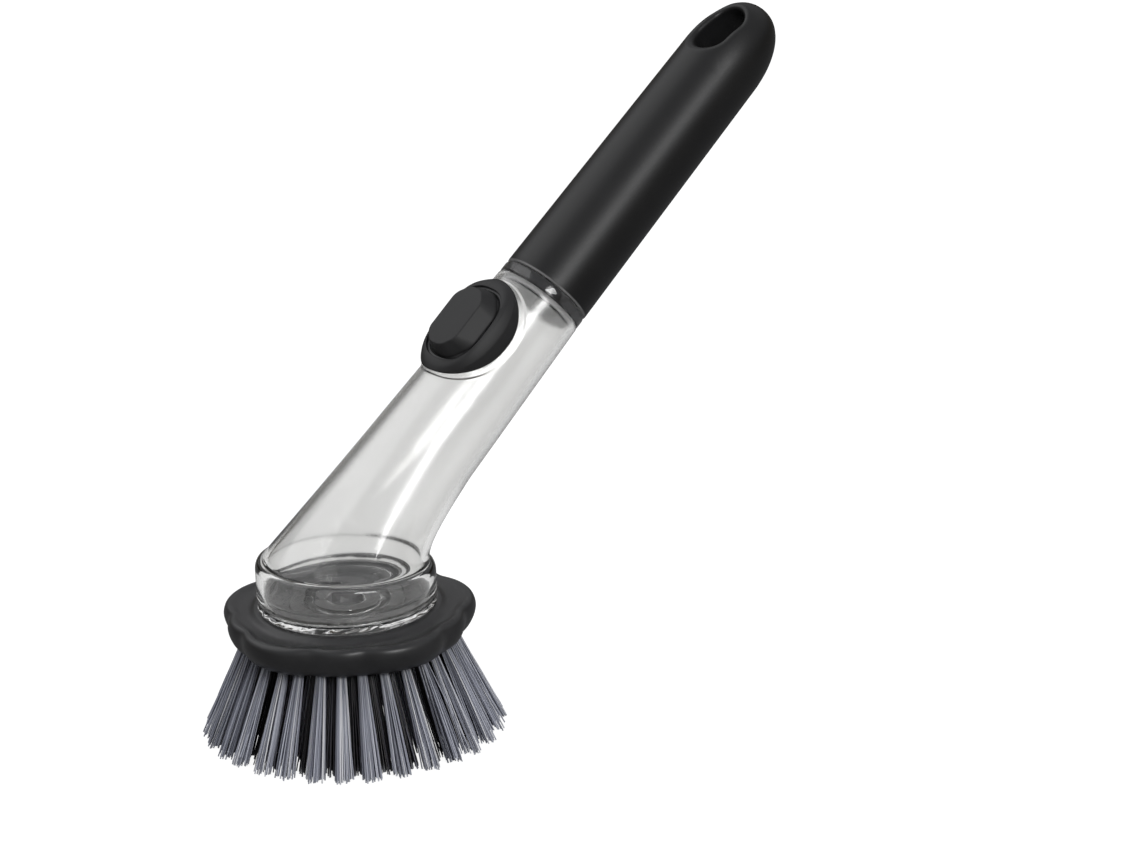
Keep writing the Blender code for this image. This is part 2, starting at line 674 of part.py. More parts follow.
def make_grip(handle_axis):
    """The hollow grip, with a rounded nose and the hanging slot through it on the button's side."""
    start = grip_start()
    bore = PLUG_RADIUS + SEAT_GAP
    outer = [
        (GRIP_RADIUS - GRIP_EDGE_ROUND, start),
        (GRIP_RADIUS, start + GRIP_EDGE_ROUND),
        ((GRIP_RADIUS + GRIP_END_RADIUS) / 2, start + GRIP_STRAIGHT / 2),
        (GRIP_END_RADIUS, start + GRIP_STRAIGHT),
    ]
    for i in range(1, NOSE_STEPS + 1):
        turn = math.radians(84.0) * i / NOSE_STEPS
        radius = GRIP_END_RADIUS * math.cos(turn) ** (2 / GRIP_NOSE_POWER)
        outer.append((radius, start + GRIP_STRAIGHT + GRIP_NOSE * math.sin(turn) ** (2 / GRIP_NOSE_POWER)))
    hollow_end = GRIP_END_RADIUS - GRIP_WALL
    inner = [
        (hollow_end / 2, start + GRIP_HOLLOW),
        (hollow_end, start + GRIP_HOLLOW - hollow_end / 2),
        (bore, start),
    ]
    rings = [circle(radius, place, GRIP_SEGMENTS) for radius, place in [*reversed(inner), *reversed(outer)]]
    count = len(inner)
    grip_rings = [*rings[count:], *rings[:count]]
    grip = lofted("handle_grip", grip_rings, MATTE_BLACK, handle_axis)

    reach = GRIP_RADIUS + CUT_OVERRUN
    straight = (SLOT_LENGTH - SLOT_WIDTH) / 2
    outline = []
    steps = 10
    for sign in (1, -1):
        for i in range(steps + 1):
            turn = math.pi * i / steps - math.pi / 2
            along = sign * (straight + SLOT_WIDTH / 2 * math.cos(turn))
            outline.append((sign * SLOT_WIDTH / 2 * math.sin(turn), start + SLOT_PLACE + along))
    slot_rings = [[Vector((height, across, place)) for across, place in outline] for height in (-reach, reach)]
    slot = lofted("hanging_slot", slot_rings, None, handle_axis)
    combine(grip, slot, "DIFFERENCE")


# Brush head

def deck_outline():
    """The deck's edge as (angle, depth beyond the creases), with points closing up at every crease."""
    pair = math.tau / DECK_LOBE_PAIRS
    broad = pair * DECK_BROAD_SHARE
    lobes = (
        (0, broad, DECK_BROAD_DEPTH, DECK_BROAD_POINTS),
        (pair / 2, pair - broad, DECK_SHALLOW_DEPTH, DECK_SHALLOW_POINTS),
    )
    outline = []
    for i in range(DECK_LOBE_PAIRS):
        for middle, width, depth, count in lobes:
            for k in range(count):
                share = (1 - math.cos(math.pi * k / count)) / 2
                turn = DECK_FIRST_LOBE + pair * i + middle + width * (share - 1 / 2)
                outline.append((turn, depth * math.sin(math.pi * share) ** DECK_LOBE_POWER))
    return outline


def deck_ring(radius, height, share):
    """A ring of the deck, a circle that gains the outline's lobes by share."""
    return [
        Vector(((radius + depth * share) * math.cos(turn), (radius + depth * share) * math.sin(turn), height))
        for turn, depth in deck_outline()
    ]


def make_deck(root):
    """The scalloped rubber deck: a trough round the cup's seat, a bead at the edge, hollow underneath."""
    inner = CORE_RADIUS + SEAT_GAP
    out = DECK_CREASE_RADIUS - DECK_SEAT_RADIUS
    rise = DECK_TOP - DECK_WIDEST_HEIGHT
    fall = DECK_WIDEST_HEIGHT - DECK_BOTTOM
    rim = DECK_CREASE_RADIUS - inner
    rings = [deck_ring(DECK_HOLE_RADIUS, DECK_TOP, 0), deck_ring(DECK_SEAT_RADIUS, DECK_TOP, 0)]
    for out_share, rise_share, lobe_share in DECK_UPPER_SHARES:
        height = DECK_WIDEST_HEIGHT + rise * rise_share
        rings.append(deck_ring(DECK_SEAT_RADIUS + out * out_share, height, lobe_share))
    rings.append(deck_ring(DECK_CREASE_RADIUS, DECK_WIDEST_HEIGHT, 1))
    for rim_share, fall_share, lobe_share in DECK_LOWER_SHARES:
        height = DECK_WIDEST_HEIGHT - fall * fall_share
        rings.append(deck_ring(inner + rim * rim_share, height, lobe_share))
    rings.append(deck_ring(inner, DECK_BOTTOM, 0))
    rings.append(deck_ring(inner, CORE_RIM_TOP + SEAT_GAP, 0))
    rings.append(deck_ring(CORE_FLAT_RADIUS, CORE_TOP + SEAT_GAP, 0))
    rings.append(deck_ring(DECK_HOLE_RADIUS, CORE_TOP + SEAT_GAP, 0))
    lofted("head_deck", rings, SATIN_BLACK, root, True)


def make_core(root):
    """The hard block inside the deck: it holds the bristle backings and takes the cup's spigot."""
    socket = SPIGOT_RADIUS + SLIDE_GAP
    profile = [
        (CORE_RADIUS, CORE_BOTTOM),
        (CORE_OUTLET_RADIUS, CORE_BOTTOM),
        (CORE_OUTLET_RADIUS, CORE_BOTTOM + CORE_FLOOR),
        (socket, CORE_BOTTOM + CORE_FLOOR),
        (socket, CORE_TOP),
        (CORE_FLAT_RADIUS, CORE_TOP),
        (CORE_RADIUS, CORE_RIM_TOP),
    ]
    turned("head_core", profile, DARK_PLASTIC, root, BACKING_SEGMENTS)

    seal = [
        (DECK_HOLE_RADIUS - SLIDE_GAP, CORE_TOP + SEAT_GAP),
        (SPIGOT_RADIUS + SLIDE_GAP, CORE_TOP + SEAT_GAP),
        (SPIGOT_RADIUS + SLIDE_GAP, DECK_TOP),
        (DECK_HOLE_RADIUS - SLIDE_GAP, DECK_TOP),
    ]
    turned("head_seal", seal, SILICONE, root, RING_SEGMENTS)


def strand_offsets(count, radius, phase):
    """Places of the strands in one tuft: one in the middle and the others round it."""
    around = [phase + math.tau * i / (count - 1) for i in range(count - 1)]
    return [Vector((0, 0))] + [Vector((radius * math.cos(a), radius * math.sin(a))) for a in around]


def strand_outline(centre, radius, turn):
    return [
        centre + Vector((radius * math.cos(turn + math.tau * i / STRAND_SIDES),
                         radius * math.sin(turn + math.tau * i / STRAND_SIDES)))
        for i in range(STRAND_SIDES)
    ]


def make_tufts(name, outer_radius, inner_radius, inset, splay, counts, look, root):
    """One ring of tufts, with every strand grown out of the ring's own backing and cut flat at the tip."""
    root_radius = outer_radius - inset
    tip_radius = root_radius + splay
    tufts, strands = counts
    outer = circle(outer_radius, 0, BACKING_SEGMENTS)
    inner = circle(inner_radius, 0, BACKING_SEGMENTS)
    points = [point.xy for point in outer] + [point.xy for point in inner]
    count = BACKING_SEGMENTS
    edges = [(i, (i + 1) % count) for i in range(count)]
    edges += [(count + i, count + (i + 1) % count) for i in range(count)]
    roots, tips = [], []
    for i in range(tufts):
        turn = math.tau * (i + 1 / 2) / tufts
        outward = Vector((math.cos(turn), math.sin(turn)))
        starts = strand_offsets(strands, TUFT_RADIUS, turn)
        ends = strand_offsets(strands, TUFT_TIP_RADIUS, turn)
        for start, end in zip(starts, ends):
            first = len(points)
            points += strand_outline(outward * root_radius + start, STRAND_RADIUS, turn)
            edges += [(first + k, first + (k + 1) % STRAND_SIDES) for k in range(STRAND_SIDES)]
            roots.append(range(first, first + STRAND_SIDES))
            tips.append(strand_outline(outward * tip_radius + end, STRAND_TIP_RADIUS, turn))

    flat, _, faces, _, _, _ = delaunay_2d_cdt(points, edges, [], 0, STRAND_RADIUS / 1000)
    bm = bmesh.new()
    under = [bm.verts.new((*point, BRISTLE_HEIGHT)) for point in flat]
    top = [bm.verts.new((*point.xy, BRISTLE_HEIGHT + BACKING_THICKNESS)) for point in outer + inner]
    owners = {index: i for i, strand in enumerate(roots) for index in strand}
    for face in faces:
        owner = {owners.get(index) for index in face}
        within = sum((flat[index] for index in face), Vector((0, 0))) / len(face)
        if (len(owner) > 1 or None in owner) and within.length > inner_radius * math.cos(math.pi / count):
            bm.faces.new([under[index] for index in face])
    for strand, tip in zip(roots, tips):
        end = [bm.verts.new((*point, 0)) for point in tip]
        for k in range(STRAND_SIDES):
            after = (k + 1) % STRAND_SIDES
            bm.faces.new((under[strand[k]], under[strand[after]], end[after], end[k]))
        bm.faces.new(end)
    for i in range(count):
        j = (i + 1) % count
        bm.faces.new((under[i], under[j], top[j], top[i]))
        bm.faces.new((under[count + i], under[count + j], top[count + j], top[count + i]))
        bm.faces.new((top[i], top[j], top[count + j], top[count + i]))
    make_object(name, bm, look, root)


def make_bristles(root):
    """Light and dark rings by turns, each clear of the next."""
    dark_outer = CORE_RADIUS - DARK_OUTER_STEP
    light_inner = dark_outer - LIGHT_INNER_STEP
    dark_inner = light_inner - DARK_INNER_STEP
    rings = (
        ("bristles_light_outer", CORE_RADIUS, dark_outer + SEAT_GAP,
         LIGHT_OUTER_INSET, LIGHT_OUTER_SPLAY, LIGHT_OUTER_COUNTS, LIGHT_BRISTLE),
        ("bristles_dark_outer", dark_outer, light_inner + SEAT_GAP,
         DARK_OUTER_INSET, DARK_OUTER_SPLAY, DARK_OUTER_COUNTS, DARK_BRISTLE),
        ("bristles_light_inner", light_inner, dark_inner + SEAT_GAP,
         LIGHT_INNER_INSET, LIGHT_INNER_SPLAY, LIGHT_INNER_COUNTS, LIGHT_BRISTLE),
        ("bristles_dark_inner", dark_inner, OUTLET_RADIUS,
         DARK_INNER_INSET, DARK_INNER_SPLAY, DARK_INNER_COUNTS, DARK_BRISTLE),
    )
    for ring in rings:
        make_tufts(*ring, root)


# Placement

def centre_on_floor(root):
    """Moves the whole brush so that its origin is the middle of its own footprint on the floor."""
    bpy.context.view_layer.update()
    shapes = [item for item in bpy.data.objects if item.type == "MESH" and not item.hide_render]
    graph = bpy.context.evaluated_depsgraph_get()
    lows, highs = [], []
    for item in shapes:
        ready = item.evaluated_get(graph)
        places = [ready.matrix_world @ vertex.co for vertex in ready.data.vertices]
        lows.append([min(place[axis] for place in places) for axis in range(3)])
        highs.append([max(place[axis] for place in places) for axis in range(3)])
    low = [min(values) for values in zip(*lows)]
    high = [max(values) for values in zip(*highs)]
    root.location = (-(low[0] + high[0]) / 2, -(low[1] + high[1]) / 2, -low[2])


def build():
    clear_scene()
    root = make_empty("brush_frame", (0, 0, 0), (0, 0, 0))
    handle_axis = make_empty("handle_axis", (0, 0, AXIS_HEIGHT), (0, AXIS_LEAN, 0), root)
    make_tank(root, handle_axis)
    make_base(root)
    make_valve(root)
    make_button(handle_axis)
    make_mouth(handle_axis)
    make_grip(handle_axis)
    make_deck(root)
    make_core(root)
    make_bristles(root)
    centre_on_floor(root)


build()
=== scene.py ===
import math

import bmesh
import bpy
from mathutils import Matrix, Vector


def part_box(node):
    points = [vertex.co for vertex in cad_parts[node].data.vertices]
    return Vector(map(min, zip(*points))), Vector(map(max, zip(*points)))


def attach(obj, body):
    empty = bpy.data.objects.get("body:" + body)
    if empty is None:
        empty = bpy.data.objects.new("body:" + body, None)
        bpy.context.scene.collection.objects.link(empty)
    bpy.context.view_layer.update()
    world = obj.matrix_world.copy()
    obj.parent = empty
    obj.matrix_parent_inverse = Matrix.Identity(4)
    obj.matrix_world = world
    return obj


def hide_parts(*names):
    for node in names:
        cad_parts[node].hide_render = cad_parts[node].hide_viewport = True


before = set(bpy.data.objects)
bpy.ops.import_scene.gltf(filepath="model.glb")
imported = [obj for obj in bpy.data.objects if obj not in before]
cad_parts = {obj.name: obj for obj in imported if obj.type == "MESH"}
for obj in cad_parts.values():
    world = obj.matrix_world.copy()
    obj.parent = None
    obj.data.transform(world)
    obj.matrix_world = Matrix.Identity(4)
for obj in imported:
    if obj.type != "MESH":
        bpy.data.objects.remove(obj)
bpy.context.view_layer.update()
print("frame loaded:", len(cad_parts), "nodes")

coreLow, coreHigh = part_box("head_core")
headFoot = Vector(((coreLow.x + coreHigh.x) / 2, (coreLow.y + coreHigh.y) / 2, 0))

lean = math.radians(53.0)
along = Vector((math.sin(lean), 0, math.cos(lean)))  # towards the handle's end
outward = Vector((-math.cos(lean), 0, math.sin(lean)))  # towards the button
across = Vector((0, 1, 0))
up = Vector((0, 0, 1))
axisHeight = 0.0610  # where the handle's axis crosses the head's
axisStart = headFoot + up * axisHeight

cornerReach = 0.48  # a rounding takes at most this share of a side
cornerSteps = 4
mergeDistance = 1e-7
ovalPower = 2.6


# placing points

def onHandle(place, height, side=0.0):
    return axisStart + along * place + outward * height + across * side


def onHead(radius, height, turn=0.0):
    return headFoot + Vector((radius * math.cos(turn), radius * math.sin(turn), height))


def blend(first, second, share):
    return first + (second - first) * share


def spaced(first, last, count):
    return [blend(first, last, i / (count - 1)) for i in range(count)]


def roundedCorners(corners, closed, steps):
    # each corner is its coordinates and a rounding; the rounding runs from one side to the next
    outline = []
    for i, (*spot, rounding) in enumerate(corners):
        here = Vector(spot)
        atEnd = not closed and i in (0, len(corners) - 1)
        if atEnd or not rounding:
            outline.append(here)
            continue
        before = Vector(corners[i - 1][:-1]) - here
        after = Vector(corners[(i + 1) % len(corners)][:-1]) - here
        start = before.normalized() * min(rounding, before.length * cornerReach)
        end = after.normalized() * min(rounding, after.length * cornerReach)
        for k in range(steps + 1):
            turn = math.pi / 2 * k / steps
            outline.append(here + start * (1 - math.sin(turn)) + end * (1 - math.cos(turn)))
    return outline


def smoothLine(points, steps):
    # a Catmull-Rom line through the points
    line = []
    for i in range(len(points) - 1):
        a = points[max(i - 1, 0)]
        b, c = points[i], points[i + 1]
        d = points[min(i + 2, len(points) - 1)]
        for k in range(steps):
            t = k / steps
            line.append(0.5 * ((2 * b) + (c - a) * t + (2 * a - 5 * b + 4 * c - d) * t**2
                               + (3 * b - a - 3 * c + d) * t**3))
    return line + [points[-1]]


# making meshes

class MeshSheet:
    # collects points and faces by number, so that loops of points can share edges
    def __init__(self):
        self.points = []
        self.faces = []

    def loop(self, points):
        first = len(self.points)
        self.points += points
        return list(range(first, len(self.points)))

    def band(self, lower, upper):
        for i in range(len(lower)):
            j = (i + 1) % len(lower)
            self.faces.append((lower[i], lower[j], upper[j], upper[i]))

    def bands(self, loops, closed=False):
        for lower, upper in zip(loops, loops[1:]):
            self.band(lower, upper)
        if closed:
            self.band(loops[-1], loops[0])

    def piece(self, name, material, sharpAngle=40.0):
        bm = bmesh.new()
        verts = [bm.verts.new(point) for point in self.points]
        for face in self.faces:
            bm.faces.new([verts[i] for i in face])
        bmesh.ops.remove_doubles(bm, verts=bm.verts, dist=mergeDistance)
        bmesh.ops.recalc_face_normals(bm, faces=bm.faces)
        mesh = bpy.data.meshes.new(name)
        bm.to_mesh(mesh)
        bm.free()
        mesh.shade_smooth()
        mesh.set_sharp_from_angle(angle=math.radians(sharpAngle))
        mesh.materials.append(material)
        made = bpy.data.objects.new(name, mesh)
        bpy.context.scene.collection.objects.link(made)
        return made


def turnedPiece(name, corners, material, onAxis, segments, closed=True):
    sheet = MeshSheet()
    loops = []
    for radius, height in roundedCorners(corners, closed, cornerSteps):
        turns = [math.tau * i / segments for i in range(segments)]
        loops.append(sheet.loop([onAxis(radius, height, turn) for turn in turns]))
    sheet.bands(loops, closed)
    return sheet.piece(name, material)


def turnedOnHandle(radius, place, turn):
    return onHandle(place, radius * math.cos(turn), radius * math.sin(turn))


def dress(piece, body, slot, *nodes):
    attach(piece, body)
    if nodes:
        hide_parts(*nodes)
    return piece


# shader and geometry nodes

def pick(sockets, key):
    if isinstance(key, int):
        return sockets[key]
    exact = [socket for socket in sockets if key in (socket.identifier, socket.name)]
    shown = [socket for socket in exact if socket.enabled]
    return (shown or exact)[0]


class Wire:
    # one output socket; an expression on wires adds the Math nodes that it needs
    def __init__(self, tree, socket):
        self.tree = tree
        self.socket = socket

    def math(self, operation, first, second=None):
        return NodeSheet(self.tree).node("ShaderNodeMath", {"operation": operation}, {
            i: item for i, item in enumerate((first, second)) if item is not None})


def wireMethod(operation, swapped=False):
    def method(self, other=None):
        return self.math(operation, other, self) if swapped else self.math(operation, self, other)
    return method


for name, operation in (("__add__", "ADD"), ("__sub__", "SUBTRACT"), ("__mul__", "MULTIPLY"),
                        ("__truediv__", "DIVIDE"), ("__pow__", "POWER"), ("floor", "FLOOR"),
                        ("root", "SQRT"), ("sine", "SINE"), ("cosine", "COSINE")):
    setattr(Wire, name, wireMethod(operation))
for name, operation in (("__radd__", "ADD"), ("__rsub__", "SUBTRACT")):
    setattr(Wire, name, wireMethod(operation, True))


class NodeSheet:
    def __init__(self, tree):
        self.tree = tree

    def node(self, kind, settings=None, sockets=None, output=0):
        made = self.tree.nodes.new(kind)
        for key, value in (settings or {}).items():
            if key == "stops":
                ramp = made.color_ramp
                while len(ramp.elements) < len(value):
                    ramp.elements.new(0.5)
                for element, (spot, colour) in zip(ramp.elements, value):
                    element.position = spot
                    element.color = (*colour, 1.0)
            else:
                setattr(made, key, value)
        for key, value in (sockets or {}).items():
            target = pick(made.inputs, key)
            if isinstance(value, Wire):
                self.tree.links.new(value.socket, target)
            else:
                target.default_value = value
        return Wire(self.tree, pick(made.outputs, output)) if len(made.outputs) else made

    def mix(self, share, first, second):
        return self.node("ShaderNodeMix", {"data_type": "RGBA"}, {
            "Factor_Float": share, "A_Color": first, "B_Color": second}, "Result_Color")

    def vector(self, operation, first, second):
        return self.node("ShaderNodeVectorMath", {"operation": operation}, {0: first, 1: second})

    def scaled(self, first, share):
        return self.node("ShaderNodeVectorMath", {"operation": "SCALE"}, {0: first, "Scale": share})

    def noise(self, place, scale, detail, roughness=0.5, distortion=0.0):
        return self.node("ShaderNodeTexNoise", {}, {
            "Vector": place, "Scale": scale, "Detail": detail, "Roughness": roughness,
            "Distortion": distortion}, "Fac")

    def ramp(self, share, stops):
        return self.node("ShaderNodeValToRGB", {"stops": stops}, {"Fac": share}, "Color")

    def range(self, value, fromLow, fromHigh, toLow, toHigh):
        return self.node("ShaderNodeMapRange", {"clamp": True}, {
            "Value": value, "From Min": fromLow, "From Max": fromHigh,
            "To Min": toLow, "To Max": toHigh}, "Result")

    def place(self, scale=None):
        spot = self.node("ShaderNodeTexCoord", {}, {}, "Object")
        return self.node("ShaderNodeMapping", {}, {"Vector": spot, "Scale": scale}) if scale else spot

    def bump(self, height, distance, strength):
        return self.node("ShaderNodeBump", {}, {
            "Height": height, "Distance": distance, "Strength": strength}, "Normal")


def blankMaterial(name):
    material = bpy.data.materials.new(name)
    material.use_nodes = True
    material.node_tree.nodes.clear()
    return material, NodeSheet(material.node_tree)


def finishMaterial(sheet, surface):
    sheet.node("ShaderNodeOutputMaterial", {}, {"Surface": surface})


# finishes

# a noise is its scale, detail, roughness and distortion, or the first few of them
# a range is from low and from high, then to low and to high
siliconeLook = {
    "patches": (180.0, 3.0), "patchRange": (0.0, 1.0, 0.0, 1.0), "patchRoughness": 0.12, "ior": 1.41,
}
plugLook = {
    "deep": (0.011, 0.011, 0.012), "pale": (0.019, 0.019, 0.020), "roughness": 0.10,
    "patches": (60.0, 3.0), "patchRange": (0.0, 1.0, 0.0, 1.0), "patchRoughness": 0.06, "ior": 1.49,
}
rubberLook = {
    "deep": (0.0095, 0.0095, 0.0100), "pale": (0.0165, 0.0165, 0.0172), "ior": 1.50,
    "patches": (22.0, 5.0, 0.62, 0.4), "patchRange": (0.34, 0.68, 0.0, 1.0), "patchRoughness": 0.16,
    "specks": (900.0, 2.0), "speckRange": (0.70, 0.80, 0.0, 0.25), "speckColour": (0.050, 0.050, 0.052),
    "grain": (3200.0, 2.0, 0.55), "grainRoughness": 0.0, "grainDepth": 0.000015, "grainStrength": 0.45,
}
gripLook = {
    "deep": (0.0070, 0.0070, 0.0073), "pale": (0.0105, 0.0105, 0.0108), "roughness": 0.41,
    "patches": (34.0, 4.0, 0.6), "patchRange": (0.35, 0.65, 0.0, 1.0), "patchRoughness": 0.10, "ior": 1.46,
    "specks": (1400.0, 1.0), "speckRange": (0.72, 0.80, 0.0, 0.35), "speckColour": (0.030, 0.030, 0.031),
    "grain": (2600.0, 2.0, 0.6), "grainRoughness": 0.08, "grainDepth": 0.00002, "grainStrength": 0.55,
    # the pale line at the rim is a painted highlight, standing in for the light that the rim's edge catches
    "rimHighlightPlace": 0.1084, "rimHighlightWidth": 0.0005, "rimShare": 0.9, "rimHighlightPatches": (0.3, 0.5, 0.4, 1.0),
    "rimHighlightColour": (0.42, 0.42, 0.42),
}
clearLook = {
    "stretch": (1.0, 2.2, 1.0), "scuffs": (700.0, 4.0, 0.7), "scuffRange": (0.55, 0.80, 0.0, 0.04),
    "polished": 0.02, "polishedBelow": 0.060, "hazyAbove": 0.080, "ior": 1.52,
}
filamentLook = {
    "roughness": 0.34, "spread": 0.10, "ior": 1.53,
    # the root colour is painted shade, darkening the filaments near the deck
    "rootShadeRange": (0.0, 0.5, 0.45, 0.0), "rootShadeColour": (0.02, 0.02, 0.025),
    "tipRange": (0.93, 1.0, 0.0, 0.35), "tipColour": (0.62, 0.64, 0.70),
}


def solidFinish(name, look):
    # two tones in patches; some finishes add specks and a grain, and the grip a painted highlight, a pale
    # line at its rim
    material, sheet = blankMaterial(name)
    place = sheet.place()
    patches = sheet.noise(place, *look["patches"])
    tone = look.get("tone", 1.0)
    deep, pale = ((*(channel * tone for channel in look[key]), 1) for key in ("deep", "pale"))
    colour = sheet.mix(sheet.range(patches, *look["patchRange"]), deep, pale)
    sockets = {"Roughness": look["roughness"] + (patches - 0.5) * look["patchRoughness"], "IOR": look["ior"]}
    if "specks" in look:
        specks = sheet.range(sheet.noise(place, *look["specks"]), *look["speckRange"])
        colour = sheet.mix(specks, colour, (*look["speckColour"], 1))
        grain = sheet.noise(place, *look["grain"])
        sockets["Roughness"] += (grain - 0.5) * look["grainRoughness"]
        sockets["Normal"] = sheet.bump(grain, look["grainDepth"], look["grainStrength"])
    # painted highlight: a pale line round the grip next to the collar, broken up by the patches
    if "rimHighlightPlace" in look:
        reach = sheet.node("ShaderNodeVectorMath", {"operation": "DOT_PRODUCT"}, {
            0: place, 1: tuple(along)}, "Value")
        rimHighlightReach = onHandle(look["rimHighlightPlace"], 0.0).dot(along)
        line = sheet.range(reach, rimHighlightReach, rimHighlightReach + look["rimHighlightWidth"], look["rimShare"], 0.0)
        line = line * sheet.range(patches, *look["rimHighlightPatches"])
        colour = sheet.mix(line, colour, (*look["rimHighlightColour"], 1))
    finishMaterial(sheet, sheet.node("ShaderNodeBsdfPrincipled", {}, {"Base Color": colour, **sockets}))
    return material


def silicone(name, deep, pale, roughness):
    return solidFinish(name, {**siliconeLook, "deep": deep, "pale": pale, "roughness": roughness})


def clearPlastic(name, own):
    look = {**clearLook, **own}
    tint = (*look["tint"], 1)
    material, sheet = blankMaterial(name)
    place = sheet.place()
    # moulding marks: slow waves that stretch along the tube, and a faint haze of fine scuffs
    waves = sheet.noise(sheet.place(look["stretch"]), *look["waves"])
    scuffs = sheet.noise(place, *look["scuffs"])
    height = sheet.node("ShaderNodeSeparateXYZ", {}, {"Vector": place}, "Z")
    roughness = sheet.range(height, look["polishedBelow"], look["hazyAbove"], look["polished"], look["haze"])
    roughness += sheet.range(scuffs, *look["scuffRange"])
    surface = sheet.node("ShaderNodeBsdfPrincipled", {}, {
        "Base Color": tint, "Roughness": roughness, "IOR": look["ior"], "Transmission Weight": 1.0,
        "Normal": sheet.bump(waves, look["waveDepth"], look["waveStrength"])})
    lampRay = sheet.node("ShaderNodeLightPath", {}, {}, "Is Shadow Ray")
    passing = sheet.node("ShaderNodeBsdfTransparent", {}, {"Color": tint})
    finishMaterial(sheet, sheet.node("ShaderNodeMixShader", {}, {0: lampRay, 1: surface, 2: passing}))
    return material


def filament(name, stops):
    look = filamentLook
    material, sheet = blankMaterial(name)
    shade = sheet.node("ShaderNodeAttribute", {"attribute_name": "shade"}, {}, "Fac")
    reach = sheet.node("ShaderNodeAttribute", {"attribute_name": "reach"}, {}, "Fac")
    colour = sheet.ramp(shade, stops)
    # the filaments get painted shade, darker near the deck where the tufts shade one another, and are paler
    # at their tips
    colour = sheet.mix(sheet.range(reach, *look["rootShadeRange"]), colour, (*look["rootShadeColour"], 1))
    colour = sheet.mix(sheet.range(reach, *look["tipRange"]), colour, (*look["tipColour"], 1))
    roughness = look["roughness"] + (shade - 0.5) * look["spread"]
    surface = sheet.node("ShaderNodeBsdfPrincipled", {}, {
        "Base Color": colour, "Roughness": roughness, "IOR": look["ior"]})
    finishMaterial(sheet, surface)
    return material


gripFinish = solidFinish("matteBlackPlastic", gripLook)
buttonFinish = solidFinish("satinBlackRubber", {**rubberLook, "roughness": 0.56, "tone": 1.35})
deckFinish = solidFinish("deckRubber", {
    **rubberLook, "roughness": 0.36, "tone": 1.9, "patches": (30.0, 5.0, 0.62, 0.4)})
plugFinish = solidFinish("darkPlastic", plugLook)
sealFinish = silicone("darkSilicone", (0.055, 0.055, 0.056), (0.085, 0.085, 0.087), 0.45)
valveFinish = silicone("smokySilicone", (0.085, 0.085, 0.088), (0.130, 0.130, 0.134), 0.34)
neckSealFinish = silicone("paleSilicone", (0.28, 0.28, 0.285), (0.38, 0.38, 0.385), 0.25)
tankFinish = clearPlastic("clearPlastic", {
    "tint": (0.870, 0.870, 0.862), "haze": 0.17,
    "waves": (55.0, 1.0, 0.4), "waveDepth": 0.0008, "waveStrength": 0.04})
baseFinish = clearPlastic("clearBase", {
    "tint": (0.92, 0.92, 0.917), "haze": 0.02,
    "waves": (120.0, 1.0, 0.4), "waveDepth": 0.0012, "waveStrength": 0.25})
lightFilament = filament("lightFilament", (
    (0.00, (0.110, 0.116, 0.145)), (0.30, (0.360, 0.376, 0.450)), (0.75, (0.620, 0.640, 0.725)),
    (1.00, (0.950, 0.955, 0.980))))
darkFilament = filament("darkFilament", (
    (0.00, (0.008, 0.007, 0.009)), (0.60, (0.022, 0.020, 0.025)), (0.92, (0.050, 0.046, 0.058)),
    (1.00, (0.200, 0.210, 0.270))))
print("finishes made")


# a skin with a window, for the tank's well and the grip's slot

def ovalSpot(turn, halfLength, halfWidth, power=ovalPower):
    lengthwise = math.copysign(abs(math.cos(turn)) ** (2 / power), math.cos(turn)) * halfLength
    sideways = math.copysign(abs(math.sin(turn)) ** (2 / power), math.sin(turn)) * halfWidth
    return lengthwise, sideways


def capsuleSpot(turn, straight, radius):
    # where a ray from the middle meets a long round-ended outline
    lengthwise, sideways = math.cos(turn), math.sin(turn)
    if abs(sideways) > 1e-9 and abs(lengthwise / sideways) * radius <= straight:
        reach = radius / abs(sideways)
    else:
        middle = math.copysign(straight, lengthwise)
        reach = lengthwise * middle + math.sqrt((lengthwise * middle) ** 2 - middle**2 + radius**2)
    return lengthwise * reach, sideways * reach


def windowBorder(low, high, reach):
    # rows and columns round the window, starting in the middle of its far edge
    return ([(high, j) for j in range(reach)] + [(i, reach) for i in range(high, low, -1)]
            + [(low, j) for j in range(reach, -reach, -1)] + [(i, -reach) for i in range(low, high)]
            + [(high, j) for j in range(-reach, 0)])


def gridFaces(sheet, rows, windows):
    # rows are loops of one count; a window is its first and last row, middle column and reach
    count = len(rows[0])
    for i in range(len(rows) - 1):
        for j in range(count):
            within = any(low <= i < high and (j - middle + reach) % count < 2 * reach
                         for low, high, middle, reach in windows)
            if not within:
                k = (j + 1) % count
                sheet.faces.append((rows[i][j], rows[i][k], rows[i + 1][k], rows[i + 1][j]))


# clear tank

